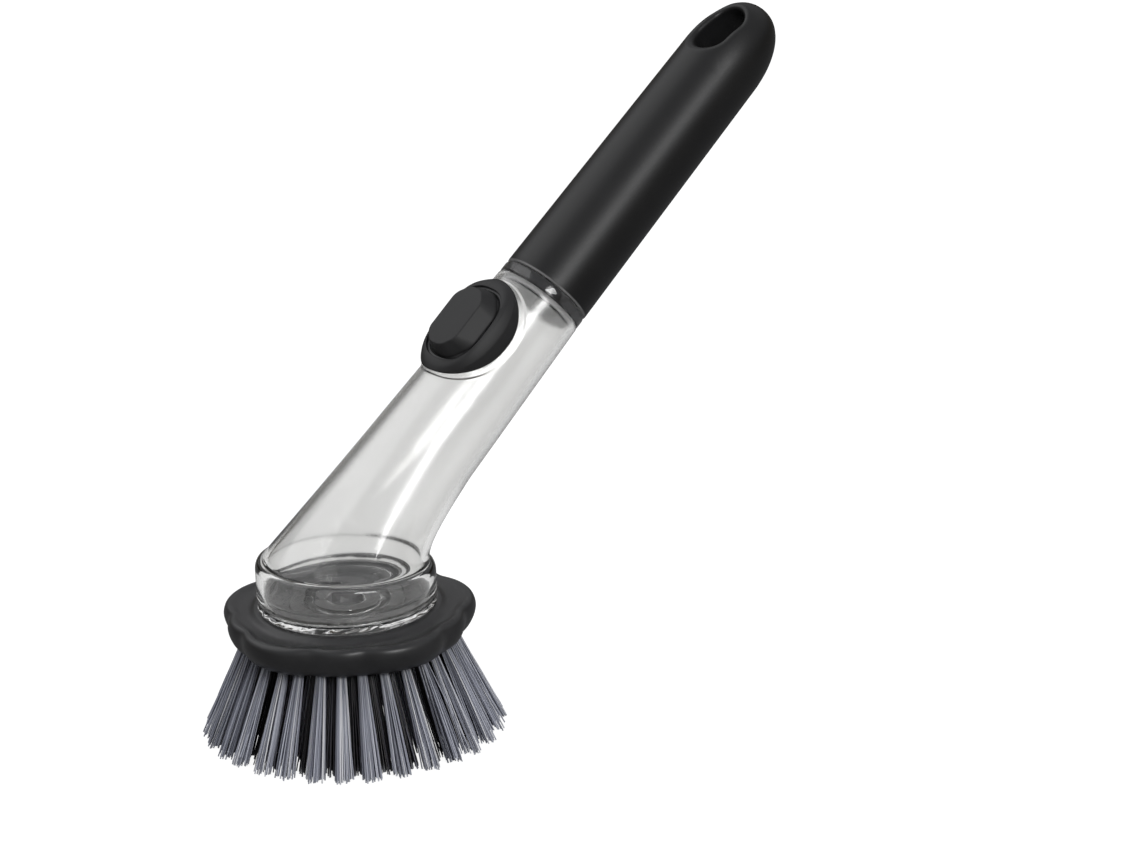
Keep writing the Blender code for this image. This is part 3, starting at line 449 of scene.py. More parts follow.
tankForm = {
    "cupRadius": 0.0290, "wall": 0.0022, "seam": 0.0462, "frontTop": 0.0598, "backTop": 0.0554,
    "bendRadius": 0.0274, "shoulderDrop": 0.0030, "bendEnd": 0.0440, "easePower": 0.8,
    "frontHandles": (0.0030, 0.0380), "backHandles": (0.0046, 0.0090), "bendPower": 1.15,
    "creaseShare": 0.004,  # keeps the crease above the shoulder crisp
    "endRadius": 0.0176, "mouthRadius": 0.0155, "mouth": 0.1038, "edge": 0.00035, "edgeShare": 0.3,
    "columns": 160, "cupRows": 8, "shoulderRows": 7, "bendRows": 46, "tubeRows": 54,
}
wellForm = {
    "place": 0.0804, "bossTop": 0.0171, "bossHalf": (0.0169, 0.0122), "wellHalf": (0.0140, 0.0111),
    "seatHalf": (0.0195, 0.0146), "seatRise": 0.00052, "first": 0.0592, "last": 0.1016, "lip": 0.0002,
    "skinSteps": (0.30, 0.55, 0.75, 0.90), "wallSteps": (0.85, 0.65, 0.4, 0.2),
    "windowPart": 4,  # the window reaches this part of the way round, to each side
    # growth of the seat's outline and share of its rise, from the skin up and in over the edge
    "seatProfile": ((0.00040, 0.0), (0.00014, 0.03), (0.00004, 0.14), (0.0, 0.45), (-0.00004, 0.80),
                    (-0.00016, 0.95), (-0.00040, 1.0), (-0.00110, 1.0)),
}


def bezier(start, startHandle, endHandle, end, share):
    rest = 1 - share
    return (start * rest**3 + startHandle * 3 * rest**2 * share
            + endHandle * 3 * rest * share**2 + end * share**3)


def tubeRadius(place):
    form = tankForm
    share = (place - form["bendEnd"]) / (form["mouth"] - form["bendEnd"])
    return blend(form["endRadius"], form["mouthRadius"], share)


def tankRows():
    # front point, back point, half width and place on the tube, from the seam up to the mouth
    form = tankForm
    cup, bend = form["cupRadius"], form["bendRadius"]
    frontWall, backWall = form["frontTop"] - form["shoulderDrop"], form["backTop"] - form["shoulderDrop"]
    low = form["seam"] + form["edge"]
    rows = []
    for share in spaced(0.0, 1.0, form["cupRows"]):
        front, back = onHead(-cup, blend(low, frontWall, share)), onHead(cup, blend(low, backWall, share))
        rows.append((front, back, cup, None))
    for turn in spaced(0.0, math.pi / 2, form["shoulderRows"])[1:]:
        radius = bend + (cup - bend) * math.cos(turn)
        rise = form["shoulderDrop"] * math.sin(turn)
        rows.append((onHead(-radius, frontWall + rise), onHead(radius, backWall + rise), radius, None))
    frontStart, backStart = onHead(-bend, form["frontTop"]), onHead(bend, form["backTop"])
    frontEnd = onHandle(form["bendEnd"], form["endRadius"])
    backEnd = onHandle(form["bendEnd"], -form["endRadius"])
    for k in range(form["bendRows"] + 1):
        share = (k / form["bendRows"]) ** form["bendPower"] if k else form["creaseShare"]
        front = bezier(frontStart, frontStart + up * form["frontHandles"][0],
                       frontEnd - along * form["frontHandles"][1], frontEnd, share)
        back = bezier(backStart, backStart + up * form["backHandles"][0],
                      backEnd - along * form["backHandles"][1], backEnd, share)
        width = bend + (form["endRadius"] - bend) * share ** form["easePower"]
        rows.append((front, back, width, form["bendEnd"] if k == form["bendRows"] else None))
    for place in spaced(form["bendEnd"], form["mouth"] - form["edge"], form["tubeRows"])[1:]:
        radius = tubeRadius(place)
        rows.append((onHandle(place, radius), onHandle(place, -radius), radius, place))
    return rows


def tankRing(row, inset, shift=None):
    front, back, halfWidth, _ = row
    middle, half = (front + back) / 2, (front - back) / 2
    half = half * (1 - inset / half.length)
    count = tankForm["columns"]
    ring = []
    for j in range(count):
        turn = math.tau * j / count
        ring.append(middle + half * math.cos(turn) + across * ((halfWidth - inset) * math.sin(turn)))
    return [point + shift for point in ring] if shift else ring


def buildTank():
    form, well = tankForm, wellForm
    wall, edge = form["wall"], form["edge"]
    sheet = MeshSheet()
    rows = tankRows()
    outer = [sheet.loop(tankRing(row, 0)) for row in rows]
    inner = [sheet.loop(tankRing(row, wall)) for row in rows]

    low = next(i for i, row in enumerate(rows) if row[3] and row[3] >= well["first"])
    high = max(i for i, row in enumerate(rows) if row[3] and row[3] <= well["last"])
    reach = form["columns"] // well["windowPart"]
    window = (low, high, 0, reach)
    gridFaces(sheet, outer, [window])
    gridFaces(sheet, inner, [window])

    # rounded edges at the seam and at the mouth
    for row, lift in ((0, -up), (-1, along)):
        shifts = ((edge * form["edgeShare"], edge * (1 - form["edgeShare"])), (edge, edge))
        loops = [outer[row]]
        loops += [sheet.loop(tankRing(rows[row], inset, lift * rise)) for inset, rise in shifts]
        loops += [sheet.loop(tankRing(rows[row], wall - inset, lift * rise))
                  for inset, rise in reversed(shifts)]
        sheet.bands([*loops, inner[row]])

    border = windowBorder(low, high, reach)
    spots = []
    for i, j in border:
        place, turn = rows[i][3], math.tau * j / form["columns"]
        aside = turn / (math.tau / well["windowPart"])
        aim = math.atan2(aside, (place - well["place"]) / (well["last"] - well["place"]))
        spots.append((place, turn, aim))

    def ovalLoop(half, grow, height):
        # height is a number for a flat level, or a rise above the tube's skin in a tuple
        loop = []
        for _, _, aim in spots:
            lengthwise, side = ovalSpot(aim, half[0] + grow, half[1] + grow)
            place = well["place"] + lengthwise
            if isinstance(height, tuple):
                radius = tubeRadius(place) + height[0]
                loop.append(onHandle(place, math.sqrt(radius**2 - side**2), side))
            else:
                loop.append(onHandle(place, height, side))
        return sheet.loop(loop)

    def stepLoop(half, grow, inset, share):
        loop = []
        for place, turn, aim in spots:
            lengthwise, side = ovalSpot(aim, half[0] + grow, half[1] + grow)
            goal = well["place"] + lengthwise
            goalTurn = math.asin(side / (tubeRadius(goal) - inset))
            here, angle = blend(place, goal, share), blend(turn, goalTurn, share)
            radius = tubeRadius(here) - inset
            loop.append(onHandle(here, radius * math.cos(angle), radius * math.sin(angle)))
        return sheet.loop(loop)

    seat, boss, hole = well["seatHalf"], well["bossHalf"], well["wellHalf"]
    rise, top, lip = well["seatRise"], well["bossTop"], well["lip"]
    loops = [[outer[i][j] for i, j in border]]
    loops += [stepLoop(seat, well["seatProfile"][0][0], 0.0, share) for share in well["skinSteps"]]
    loops += [ovalLoop(seat, grow, (rise * lift,)) for grow, lift in well["seatProfile"]]
    loops.append(ovalLoop(boss, 0.0, (rise,)))
    loops += [ovalLoop(boss, grow, top - drop) for grow, drop in ((0.0, lip), (-lip, 0.0))]
    loops += [ovalLoop(hole, grow, top - drop) for grow, drop in ((lip, 0.0), (0.0, lip))]
    loops.append(ovalLoop(hole, 0.0, (-wall,)))
    loops += [stepLoop(hole, 0.0, wall, share) for share in well["wallSteps"]]
    loops.append([inner[i][j] for i, j in border])
    sheet.bands(loops)
    return sheet.piece("tankShell", tankFinish, 50.0)


tankShell = dress(buildTank(), "tank", "clear_plastic", "reservoir")
print("tank made:", len(tankShell.data.polygons), "faces")


# cup's floor, with its rim, lip and spigot

baseForm = {
    "radius": 0.0290, "lipRadius": 0.0265, "lipInside": 0.0247, "spigot": 0.0140, "bore": 0.0110,
    "port": 0.0068, "seam": 0.0459, "bottom": 0.0432, "floorTop": 0.0456, "lipTop": 0.0493,
    "spigotEnd": 0.0373, "shelf": 0.04385, "segments": 160,
    # radius, height and rounding of each corner, in order round the section
    "corners": (("radius", "seam", 0.00035), ("radius", "bottom", 0.0009), ("spigot", "bottom", 0.0003),
                ("spigot", "spigotEnd", 0.0008), ("bore", "spigotEnd", 0.0003), ("bore", "shelf", 0.0),
                ("port", "shelf", 0.0003), ("port", "floorTop", 0.0004), ("lipInside", "floorTop", 0.0006),
                ("lipInside", "lipTop", 0.0005), ("lipRadius", "lipTop", 0.0005),
                ("lipRadius", "seam", 0.0002)),
}


def buildBase():
    form = baseForm
    corners = [(form[radius], form[height], rounding) for radius, height, rounding in form["corners"]]
    return turnedPiece("tankBase", corners, baseFinish, onHead, form["segments"])


dress(buildBase(), "tank", "clear_plastic", "reservoir_base")


# button: ring and cap

ringForm = {
    "openingHalf": (0.0143, 0.0114), "outerHalf": (0.0188, 0.0142), "skirtHalf": (0.0171, 0.01245),
    "under": 0.0183, "top": 0.0191, "innerRound": 0.0003, "rollWidth": 0.0026, "rollShare": 0.43,
    "outerPower": 2.3, "endDrop": 0.7, "foot": 0.00085, "points": 240, "roundSteps": 5,
    # share of the way out and of the drop, over the sloping top to a crisp outer edge
    "topProfile": ((0.25, 0.18), (0.50, 0.42), (0.75, 0.70), (0.92, 0.90), (0.98, 0.98), (1.0, 1.06)),
    # growth of the outline and rise above the tube, down the side
    "sideProfile": ((0.0, 0.0009), (0.0, 0.0005), (-0.00008, 0.0002), (-0.0003, 0.0)),
}


def buildRing():
    form = ringForm
    sheet = MeshSheet()
    turns = [math.tau * i / form["points"] for i in range(form["points"])]

    def loop(half, grow, height, share=0.0, rise=0.0, power=ovalPower):
        # share is how far each point comes down from its height to the ring's foot on the tube
        points = []
        for turn in turns:
            lengthwise, side = ovalSpot(turn, half[0] + grow, half[1] + grow, power)
            place = wellForm["place"] + lengthwise
            foot = math.sqrt((tubeRadius(place) + form["foot"] + rise) ** 2 - side**2)
            drop = min(share * (1 + form["endDrop"] * math.cos(turn) ** 4), 1.0)
            points.append(onHandle(place, blend(height, foot, drop), side))
        return sheet.loop(points)

    inside, outside, skirt = form["openingHalf"], form["outerHalf"], form["skirtHalf"]
    top, edge, roll = form["top"], form["innerRound"], form["rollWidth"]
    loops = [loop(inside, 0.0, form["under"])]
    for turn in spaced(0.0, math.pi / 2, form["roundSteps"]):
        loops.append(loop(inside, edge * (1 - math.cos(turn)), top - edge * (1 - math.sin(turn))))
    for out, down in form["topProfile"]:
        power = blend(ovalPower, form["outerPower"], out)
        loops.append(loop(outside, -roll * (1 - out), top, form["rollShare"] * down, 0.0, power))
    for grow, rise in form["sideProfile"]:
        loops.append(loop(outside, grow, top, 1.0, rise, form["outerPower"]))
    loops.append(loop(skirt, 0.0, top, 1.0))
    loops.append(loop(skirt, 0.0, form["under"]))
    sheet.bands(loops, True)
    return sheet.piece("buttonRing", buttonFinish)


capForm = {
    "baseHalf": (0.0132, 0.0103), "facetHalf": (0.0114, 0.0067), "facetShift": -0.0005,
    "foot": 0.0185, "shoulder": 0.0190, "top": 0.0238, "cornerShare": 0.60, "shoulderRound": 0.0009,
    "facetRound": 0.0005, "cornerRound": 0.44, "cornerSteps": 8, "edgeSteps": 6,
    "dish": 0.00008, "dishShare": 0.3,
}


def eightSided(halfLength, halfWidth, height, shift):
    # the outline of a long octagon whose corners are rounded by a share of its cut sides
    cut = halfWidth * capForm["cornerShare"]
    corners = []
    for lengthSign, sideSign, order in ((1, 1, 1), (-1, 1, -1), (-1, -1, 1), (1, -1, -1)):
        quarter = [(halfLength, halfWidth - cut), (halfLength - cut, halfWidth)][::order]
        corners += [(a * lengthSign, b * sideSign, cut * capForm["cornerRound"]) for a, b in quarter]
    outline = roundedCorners(corners, True, capForm["cornerSteps"])
    middle = wellForm["place"] + shift
    return [onHandle(middle + lengthwise, height, side) for lengthwise, side in outline]


def buildCap():
    form = capForm
    sheet = MeshSheet()
    length, width = form["facetHalf"]
    top, shift, dish = form["top"], form["facetShift"], form["dishShare"]
    # half length, half width, height and shift of the outline, from the foot up and in over the facet
    corners = [
        (*form["baseHalf"], form["foot"], 0.0, 0.0),
        (*form["baseHalf"], form["shoulder"], 0.0, form["shoulderRound"]),
        (length, width, top, shift, form["facetRound"]),
        (length * dish, width * dish, top - form["dish"], shift, 0.0),
    ]
    loops = [sheet.loop(eightSided(*level)) for level in roundedCorners(corners, False, form["edgeSteps"])]
    sheet.bands(loops)
    for loop, height in ((loops[0], form["foot"]), (loops[-1], top - form["dish"])):
        middle = sheet.loop([onHandle(wellForm["place"], height)])[0]
        for i in range(len(loop)):
            sheet.faces.append((loop[i], loop[(i + 1) % len(loop)], middle))
    return sheet.piece("buttonCap", buttonFinish, 60.0)


dress(buildRing(), "tank", "satin_black_rubber", "button_bezel")
dress(buildCap(), "button", "satin_black_rubber", "button_pad")
print("base and button made")


# plug, seal and collar at the filling mouth

neckForm = {
    "gap": 0.0003, "collarHeight": 0.0038, "collarRadius": 0.0154, "plugRadius": 0.0126,
    "plugDepth": 0.0020, "plugTail": 0.0110, "plugWall": 0.0020, "sealWidth": 0.0012,
    "grooveDepth": 0.0013, "sealPlace": 0.0003, "sealRound": 0.48, "bond": 0.0002,
    "segments": 128, "collarSegments": 160,
    "rounds": {"nose": 0.0011, "groove": 0.0003, "grooveFloor": 0.0002, "tail": 0.0005, "hollow": 0.0008,
               "seal": 0.0002, "collarFoot": 0.0006, "collarHole": 0.0003, "collarTop": 0.0009},
}


def buildNeck():
    form, rounds = neckForm, neckForm["rounds"]
    low = tankForm["mouth"] - form["plugDepth"]
    collarLow = tankForm["mouth"] + form["gap"]
    collarTop = collarLow + form["collarHeight"]
    top = collarTop + form["plugTail"]
    radius, wall = form["plugRadius"], form["plugWall"]
    grooveLow = low + form["sealPlace"]
    grooveTop = grooveLow + form["sealWidth"] + 2 * form["gap"]
    groove = radius - form["grooveDepth"]
    plugCorners = [
        (0.0, low, 0.0), (radius, low, rounds["nose"]), (radius, grooveLow, rounds["groove"]),
        (groove, grooveLow, rounds["grooveFloor"]), (groove, grooveTop, rounds["grooveFloor"]),
        (radius, grooveTop, rounds["groove"]), (radius, top, rounds["tail"]),
        (radius - wall, top, rounds["tail"]), (radius - wall, low + wall, rounds["hollow"]),
        (0.0, low + wall, 0.0),
    ]
    plug = turnedPiece("neckPlug", plugCorners, plugFinish, turnedOnHandle, form["segments"], False)
    outer = tankForm["mouthRadius"] - tankForm["wall"] - form["gap"]
    inner = groove + form["gap"]
    halfWidth = form["sealWidth"] * form["sealRound"]
    sealCorners = [
        (inner, grooveLow + form["gap"], rounds["seal"]), (outer, grooveLow + form["gap"], halfWidth),
        (outer, grooveTop - form["gap"], halfWidth), (inner, grooveTop - form["gap"], rounds["seal"]),
    ]
    seal = turnedPiece("neckSealRing", sealCorners, neckSealFinish, turnedOnHandle, form["segments"])
    # the collar is moulded on to the plug, so the dark core touches the clear ring all round
    hole = radius - form["bond"]
    collarCorners = [
        (form["collarRadius"], collarLow, rounds["collarFoot"]), (hole, collarLow, rounds["collarHole"]),
        (hole, collarTop, rounds["collarHole"]), (form["collarRadius"], collarTop, rounds["collarTop"]),
    ]
    collar = turnedPiece("clearCollar", collarCorners, baseFinish, turnedOnHandle, form["collarSegments"])
    return plug, seal, collar


neckPlug, neckSealRing, clearCollar = buildNeck()
dress(neckPlug, "handle", "dark_plastic", "handle_plug")
dress(neckSealRing, "neck_ring", "silicone", "neck_seal")
dress(clearCollar, "handle", "clear_plastic", "handle_collar")


# grip with its hanging slot

gripForm = {
    "start": 0.1082, "radius": 0.0154, "endRadius": 0.0140, "straight": 0.0920, "nose": 0.0247,
    "nosePower": 2.2, "edge": 0.0007, "bore": 0.0129, "wall": 0.0018, "hollow": 0.09025,
    "columns": 160, "straightRows": 60, "noseRows": 60,
    "slotPlace": 0.1016, "slotLength": 0.0183, "slotWidth": 0.0124, "slotRound": 0.0027,
    "slotLipDepth": 1.25, "slotSteps": 8, "windowFirst": 0.0872, "windowLast": 0.1142,
    "windowPart": 6,  # the window reaches this part of the way round, to each side
    "rimSteps": 5, "boreEdge": 0.0003, "boreStart": 0.01, "boreRows": 10,
    "skinSteps": (0.35, 0.65, 0.85), "wallSteps": (0.2, 0.4, 0.6, 0.8),
}


def gripRadius(place):
    # the nose is a quarter of a full-cornered oval
    form = gripForm
    if place <= form["straight"]:
        return blend(form["radius"], form["endRadius"], place / form["straight"])
    share = min((place - form["straight"]) / form["nose"], 1.0)
    return form["endRadius"] * (1 - share ** form["nosePower"]) ** (1 / form["nosePower"])


def buildGrip():
    form = gripForm
    sheet = MeshSheet()
    count, start = form["columns"], form["start"]
    turns = [math.tau * j / count for j in range(count)]

    def ring(place, radius):
        return sheet.loop([turnedOnHandle(radius, start + place, turn) for turn in turns])

    places = spaced(form["edge"], form["straight"], form["straightRows"])
    for k in range(1, form["noseRows"]):
        turn = math.pi / 2 * k / form["noseRows"]
        places.append(form["straight"] + form["nose"] * math.sin(turn) ** (2 / form["nosePower"]))
    outer = [ring(place, gripRadius(place)) for place in places]
    low = next(i for i, place in enumerate(places) if place >= form["windowFirst"])
    high = max(i for i, place in enumerate(places) if place <= form["windowLast"])
    reach = count // form["windowPart"]
    gridFaces(sheet, outer, [(low, high, 0, reach), (low, high, count // 2, reach)])
    tip = sheet.loop([turnedOnHandle(0.0, start + form["straight"] + form["nose"], 0.0)])[0]
    for j in range(count):
        sheet.faces.append((outer[-1][j], outer[-1][(j + 1) % count], tip))

    # rim at the collar, then the hollow
    edge, bore = form["edge"], form["bore"]
    hollowEnd = form["endRadius"] - form["wall"]
    rim = [ring(edge * (1 - math.sin(turn)), form["radius"] - edge * (1 - math.cos(turn)))
           for turn in spaced(0.0, math.pi / 2, form["rimSteps"])]
    inside = [ring(0.0, bore + form["boreEdge"]), ring(form["boreEdge"], bore)]
    for place in spaced(form["boreStart"], form["hollow"] - hollowEnd / 2, form["boreRows"]):
        inside.append(ring(place, blend(bore, hollowEnd, place / form["hollow"])))
    for turn in spaced(0.0, math.pi / 2, form["boreRows"])[1:]:
        place = form["hollow"] - hollowEnd / 2 * (1 - math.sin(turn))
        inside.append(ring(place, max(hollowEnd * math.cos(turn), 0.0)))
    sheet.bands([outer[0], *rim[1:], *inside])

    border = windowBorder(low, high, reach)
    straight = (form["slotLength"] - form["slotWidth"]) / 2
    radius, fillet = form["slotWidth"] / 2, form["slotRound"]
    middle = form["slotPlace"]
    spots = []
    for i, j in border:
        place, turn = places[i], math.tau * j / count
        span = (form["windowLast"] - middle) if place > middle else (middle - form["windowFirst"])
        aside = turn / (math.tau / form["windowPart"])
        spots.append((place, turn, math.atan2(aside, (place - middle) / span)))

    def skinPoint(lengthwise, side):
        full = gripRadius(middle + lengthwise)
        return math.sqrt(max(full**2 - side**2, 0.0))

    faces = []
    for sign in (1, -1):
        loops = [[outer[i][j if sign > 0 else (count // 2 - j) % count] for i, j in border]]
        for share in form["skinSteps"]:
            loop = []
            for place, turn, aim in spots:
                lengthwise, side = capsuleSpot(aim, straight, radius + fillet)
                goal = middle + lengthwise
                goalTurn = math.asin(side / gripRadius(goal))
                here, angle = blend(place, goal, share), blend(turn, goalTurn, share)
                full = gripRadius(here)
                loop.append(onHandle(start + here, sign * full * math.cos(angle), full * math.sin(angle)))
            loops.append(sheet.loop(loop))
        for turn in spaced(0.0, math.pi / 2, form["slotSteps"]):
            loop = []
            for _, _, aim in spots:
                wideLength, wideSide = capsuleSpot(aim, straight, radius + fillet)
                nearLength, nearSide = capsuleSpot(aim, straight, radius)
                lip = Vector((wideLength, wideSide, skinPoint(wideLength, wideSide)))
                corner = Vector((nearLength, nearSide, skinPoint(nearLength, nearSide)))
                down = Vector((0, 0, -fillet * form["slotLipDepth"]))
                spot = corner + (lip - corner) * (1 - math.sin(turn)) + down * (1 - math.cos(turn))
                loop.append(onHandle(start + middle + spot.x, sign * spot.z, spot.y))
            loops.append(sheet.loop(loop))
        sheet.bands(loops)
        faces.append(loops[-1])
    walls = [faces[0]]
    for share in form["wallSteps"]:
        walls.append(sheet.loop([blend(sheet.points[a], sheet.points[b], share) for a, b in zip(*faces)]))
    sheet.bands([*walls, faces[1]])
    return sheet.piece("gripBody", gripFinish, 60.0)


gripBody = dress(buildGrip(), "handle", "matte_black_plastic", "handle_grip")
print("neck and grip made:", len(gripBody.data.polygons), "faces in the grip")


# scalloped deck

deckForm = {
    "pairs": 5, "firstLobe": math.radians(-24.5), "broadShare": 0.64, "power": 0.5, "softening": 22,
    "broadDepth": 0.0043, "shallowDepth": 0.0022, "broadPoints": 48, "shallowPoints": 28,
    "hole": 0.0190, "seat": 0.0300, "crease": 0.0372, "inner": 0.0341, "top": 0.0429,
    "widest": 0.0392, "bottom": 0.0320, "roofUnder": 0.0413, "rimUnder": 0.0395, "flat": 0.0290,
    "edge": 0.0003, "lineSteps": 5,
    # shares of the way out, of the rise or fall, and of the lobes, from the seat out to the skirt's foot
    "topProfile": ((0.26, 0.62, 0.10), (0.50, 0.60, 0.55), (0.73, 0.76, 0.90), (0.91, 0.54, 0.98)),
    "skirtProfile": ((0.97, 0.24, 1.0), (0.82, 0.52, 0.94), (0.60, 0.80, 0.78), (0.38, 0.95, 0.60)),
    "skirtFoot": (0.12, 0.30),
}


def deckEdge():
    # angle and depth of each point of the edge, closing up at the creases
    form = deckForm
    pair = math.tau / form["pairs"]
    broad = pair * form["broadShare"]
    lobes = ((0.0, broad, form["broadDepth"], form["broadPoints"]),
             (pair / 2, pair - broad, form["shallowDepth"], form["shallowPoints"]))
    edge = []
    for i in range(form["pairs"]):
        for middle, width, depth, count in lobes:
            for k in range(count):
                share = k / count
                turn = form["firstLobe"] + pair * i + middle + width * (share - 0.5)
                edge.append((turn, depth * math.sin(math.pi * share) ** form["power"]))
    return edge


def softened(edge):
    # rounds the creases, as the rubber is
    depths = [depth for _, depth in edge]
    count = len(depths)
    for _ in range(deckForm["softening"]):
        depths = [(depths[i - 1] + 2 * depths[i] + depths[(i + 1) % count]) / 4 for i in range(count)]
    return [(turn, depth) for (turn, _), depth in zip(edge, depths)]


def buildDeck():
    form = deckForm
    edge = softened(deckEdge())
    out, rise = form["crease"] - form["seat"], form["top"] - form["widest"]
    rim, fall = form["crease"] - form["inner"], form["widest"] - form["bottom"]
    # radius, height and share of the lobes, from the seat over the trough and bead to the skirt's foot
    line = [Vector((form["seat"], form["top"], 0.0))]
    for outShare, riseShare, lobes in form["topProfile"]:
        line.append(Vector((form["seat"] + out * outShare, form["widest"] + rise * riseShare, lobes)))
    line.append(Vector((form["crease"], form["widest"], 1.0)))
    for rimShare, fallShare, lobes in form["skirtProfile"]:
        line.append(Vector((form["inner"] + rim * rimShare, form["widest"] - fall * fallShare, lobes)))
    footShare, footLobes = form["skirtFoot"]
    line.append(Vector((form["inner"] + rim * footShare, form["bottom"], footLobes)))
    hole, top, inner, small = form["hole"], form["top"], form["inner"], form["edge"]
    profile = [Vector((hole, top - small, 0)), Vector((hole + small, top, 0))]
    profile += smoothLine(line, form["lineSteps"])
    profile += [Vector((inner, form["bottom"] + small, 0)), Vector((inner, form["rimUnder"], 0)),
                Vector((form["flat"], form["roofUnder"], 0)), Vector((hole, form["roofUnder"], 0))]
    sheet = MeshSheet()
    loops = []
    for radius, height, lobes in profile:
        loops.append(sheet.loop([onHead(radius + depth * lobes, height, turn) for turn, depth in edge]))
    sheet.bands(loops, True)
    return sheet.piece("scallopedDeck", deckFinish, 60.0)


scallopedDeck = dress(buildDeck(), "brush_head", "satin_black_rubber", "head_deck")
print("deck made:", len(scallopedDeck.data.polygons), "faces")


# bristles

bristleForm = {
    "rootHeight": 0.0334, "backing": 0.0016, "filamentRadius": 0.00024, "rootSpread": 0.00135,
    "jitter": 0.0005, "unevenness": 0.0016, "strayShare": 0.03, "strayReach": 2.6, "rootJitter": 0.15,
    "bow": 0.8, "bowLift": 0.0004, "tuftTurn": 0.015, "goldenAngle": 2.39996, "fullTurn": 6.28,
    "backingSegments": 96, "filamentPoints": 5, "filamentSides": 4,
    "nudge": 0.0001,  # keeps a tuft's first filament from being counted with the tuft before
    "rings": (
        # name, backing's outer and inner radius, root and tip radius, tip spread, tufts, filaments,
        # share of a step that the tufts are turned by, finish, slot, node, seed
        ("tuftsLightOuter", 0.0338, 0.0289, 0.0320, 0.0457, 0.0030, 30, 46, 0.0,
         lightFilament, "light_bristle", "bristles_light_outer", 11),
        ("tuftsDarkOuter", 0.0286, 0.0229, 0.0268, 0.0402, 0.0034, 30, 44, 0.5,
         darkFilament, "dark_bristle", "bristles_dark_outer", 23),
        ("tuftsLightInner", 0.0226, 0.0159, 0.0196, 0.0300, 0.0030, 20, 40, 0.0,
         lightFilament, "light_bristle", "bristles_light_inner", 37),
        ("tuftsDarkInner", 0.0156, 0.0042, 0.0112, 0.0190, 0.0036, 14, 44, 0.0,
         darkFilament, "dark_bristle", "bristles_dark_inner", 41),
    ),
}


def backingRing(name, outerRadius, innerRadius, material):
    low = bristleForm["rootHeight"]
    high = low + bristleForm["backing"]
    corners = [(outerRadius, low, 0.0), (innerRadius, low, 0.0),
               (innerRadius, high, 0.0), (outerRadius, high, 0.0)]
    return turnedPiece(name, corners, material, onHead, bristleForm["backingSegments"])


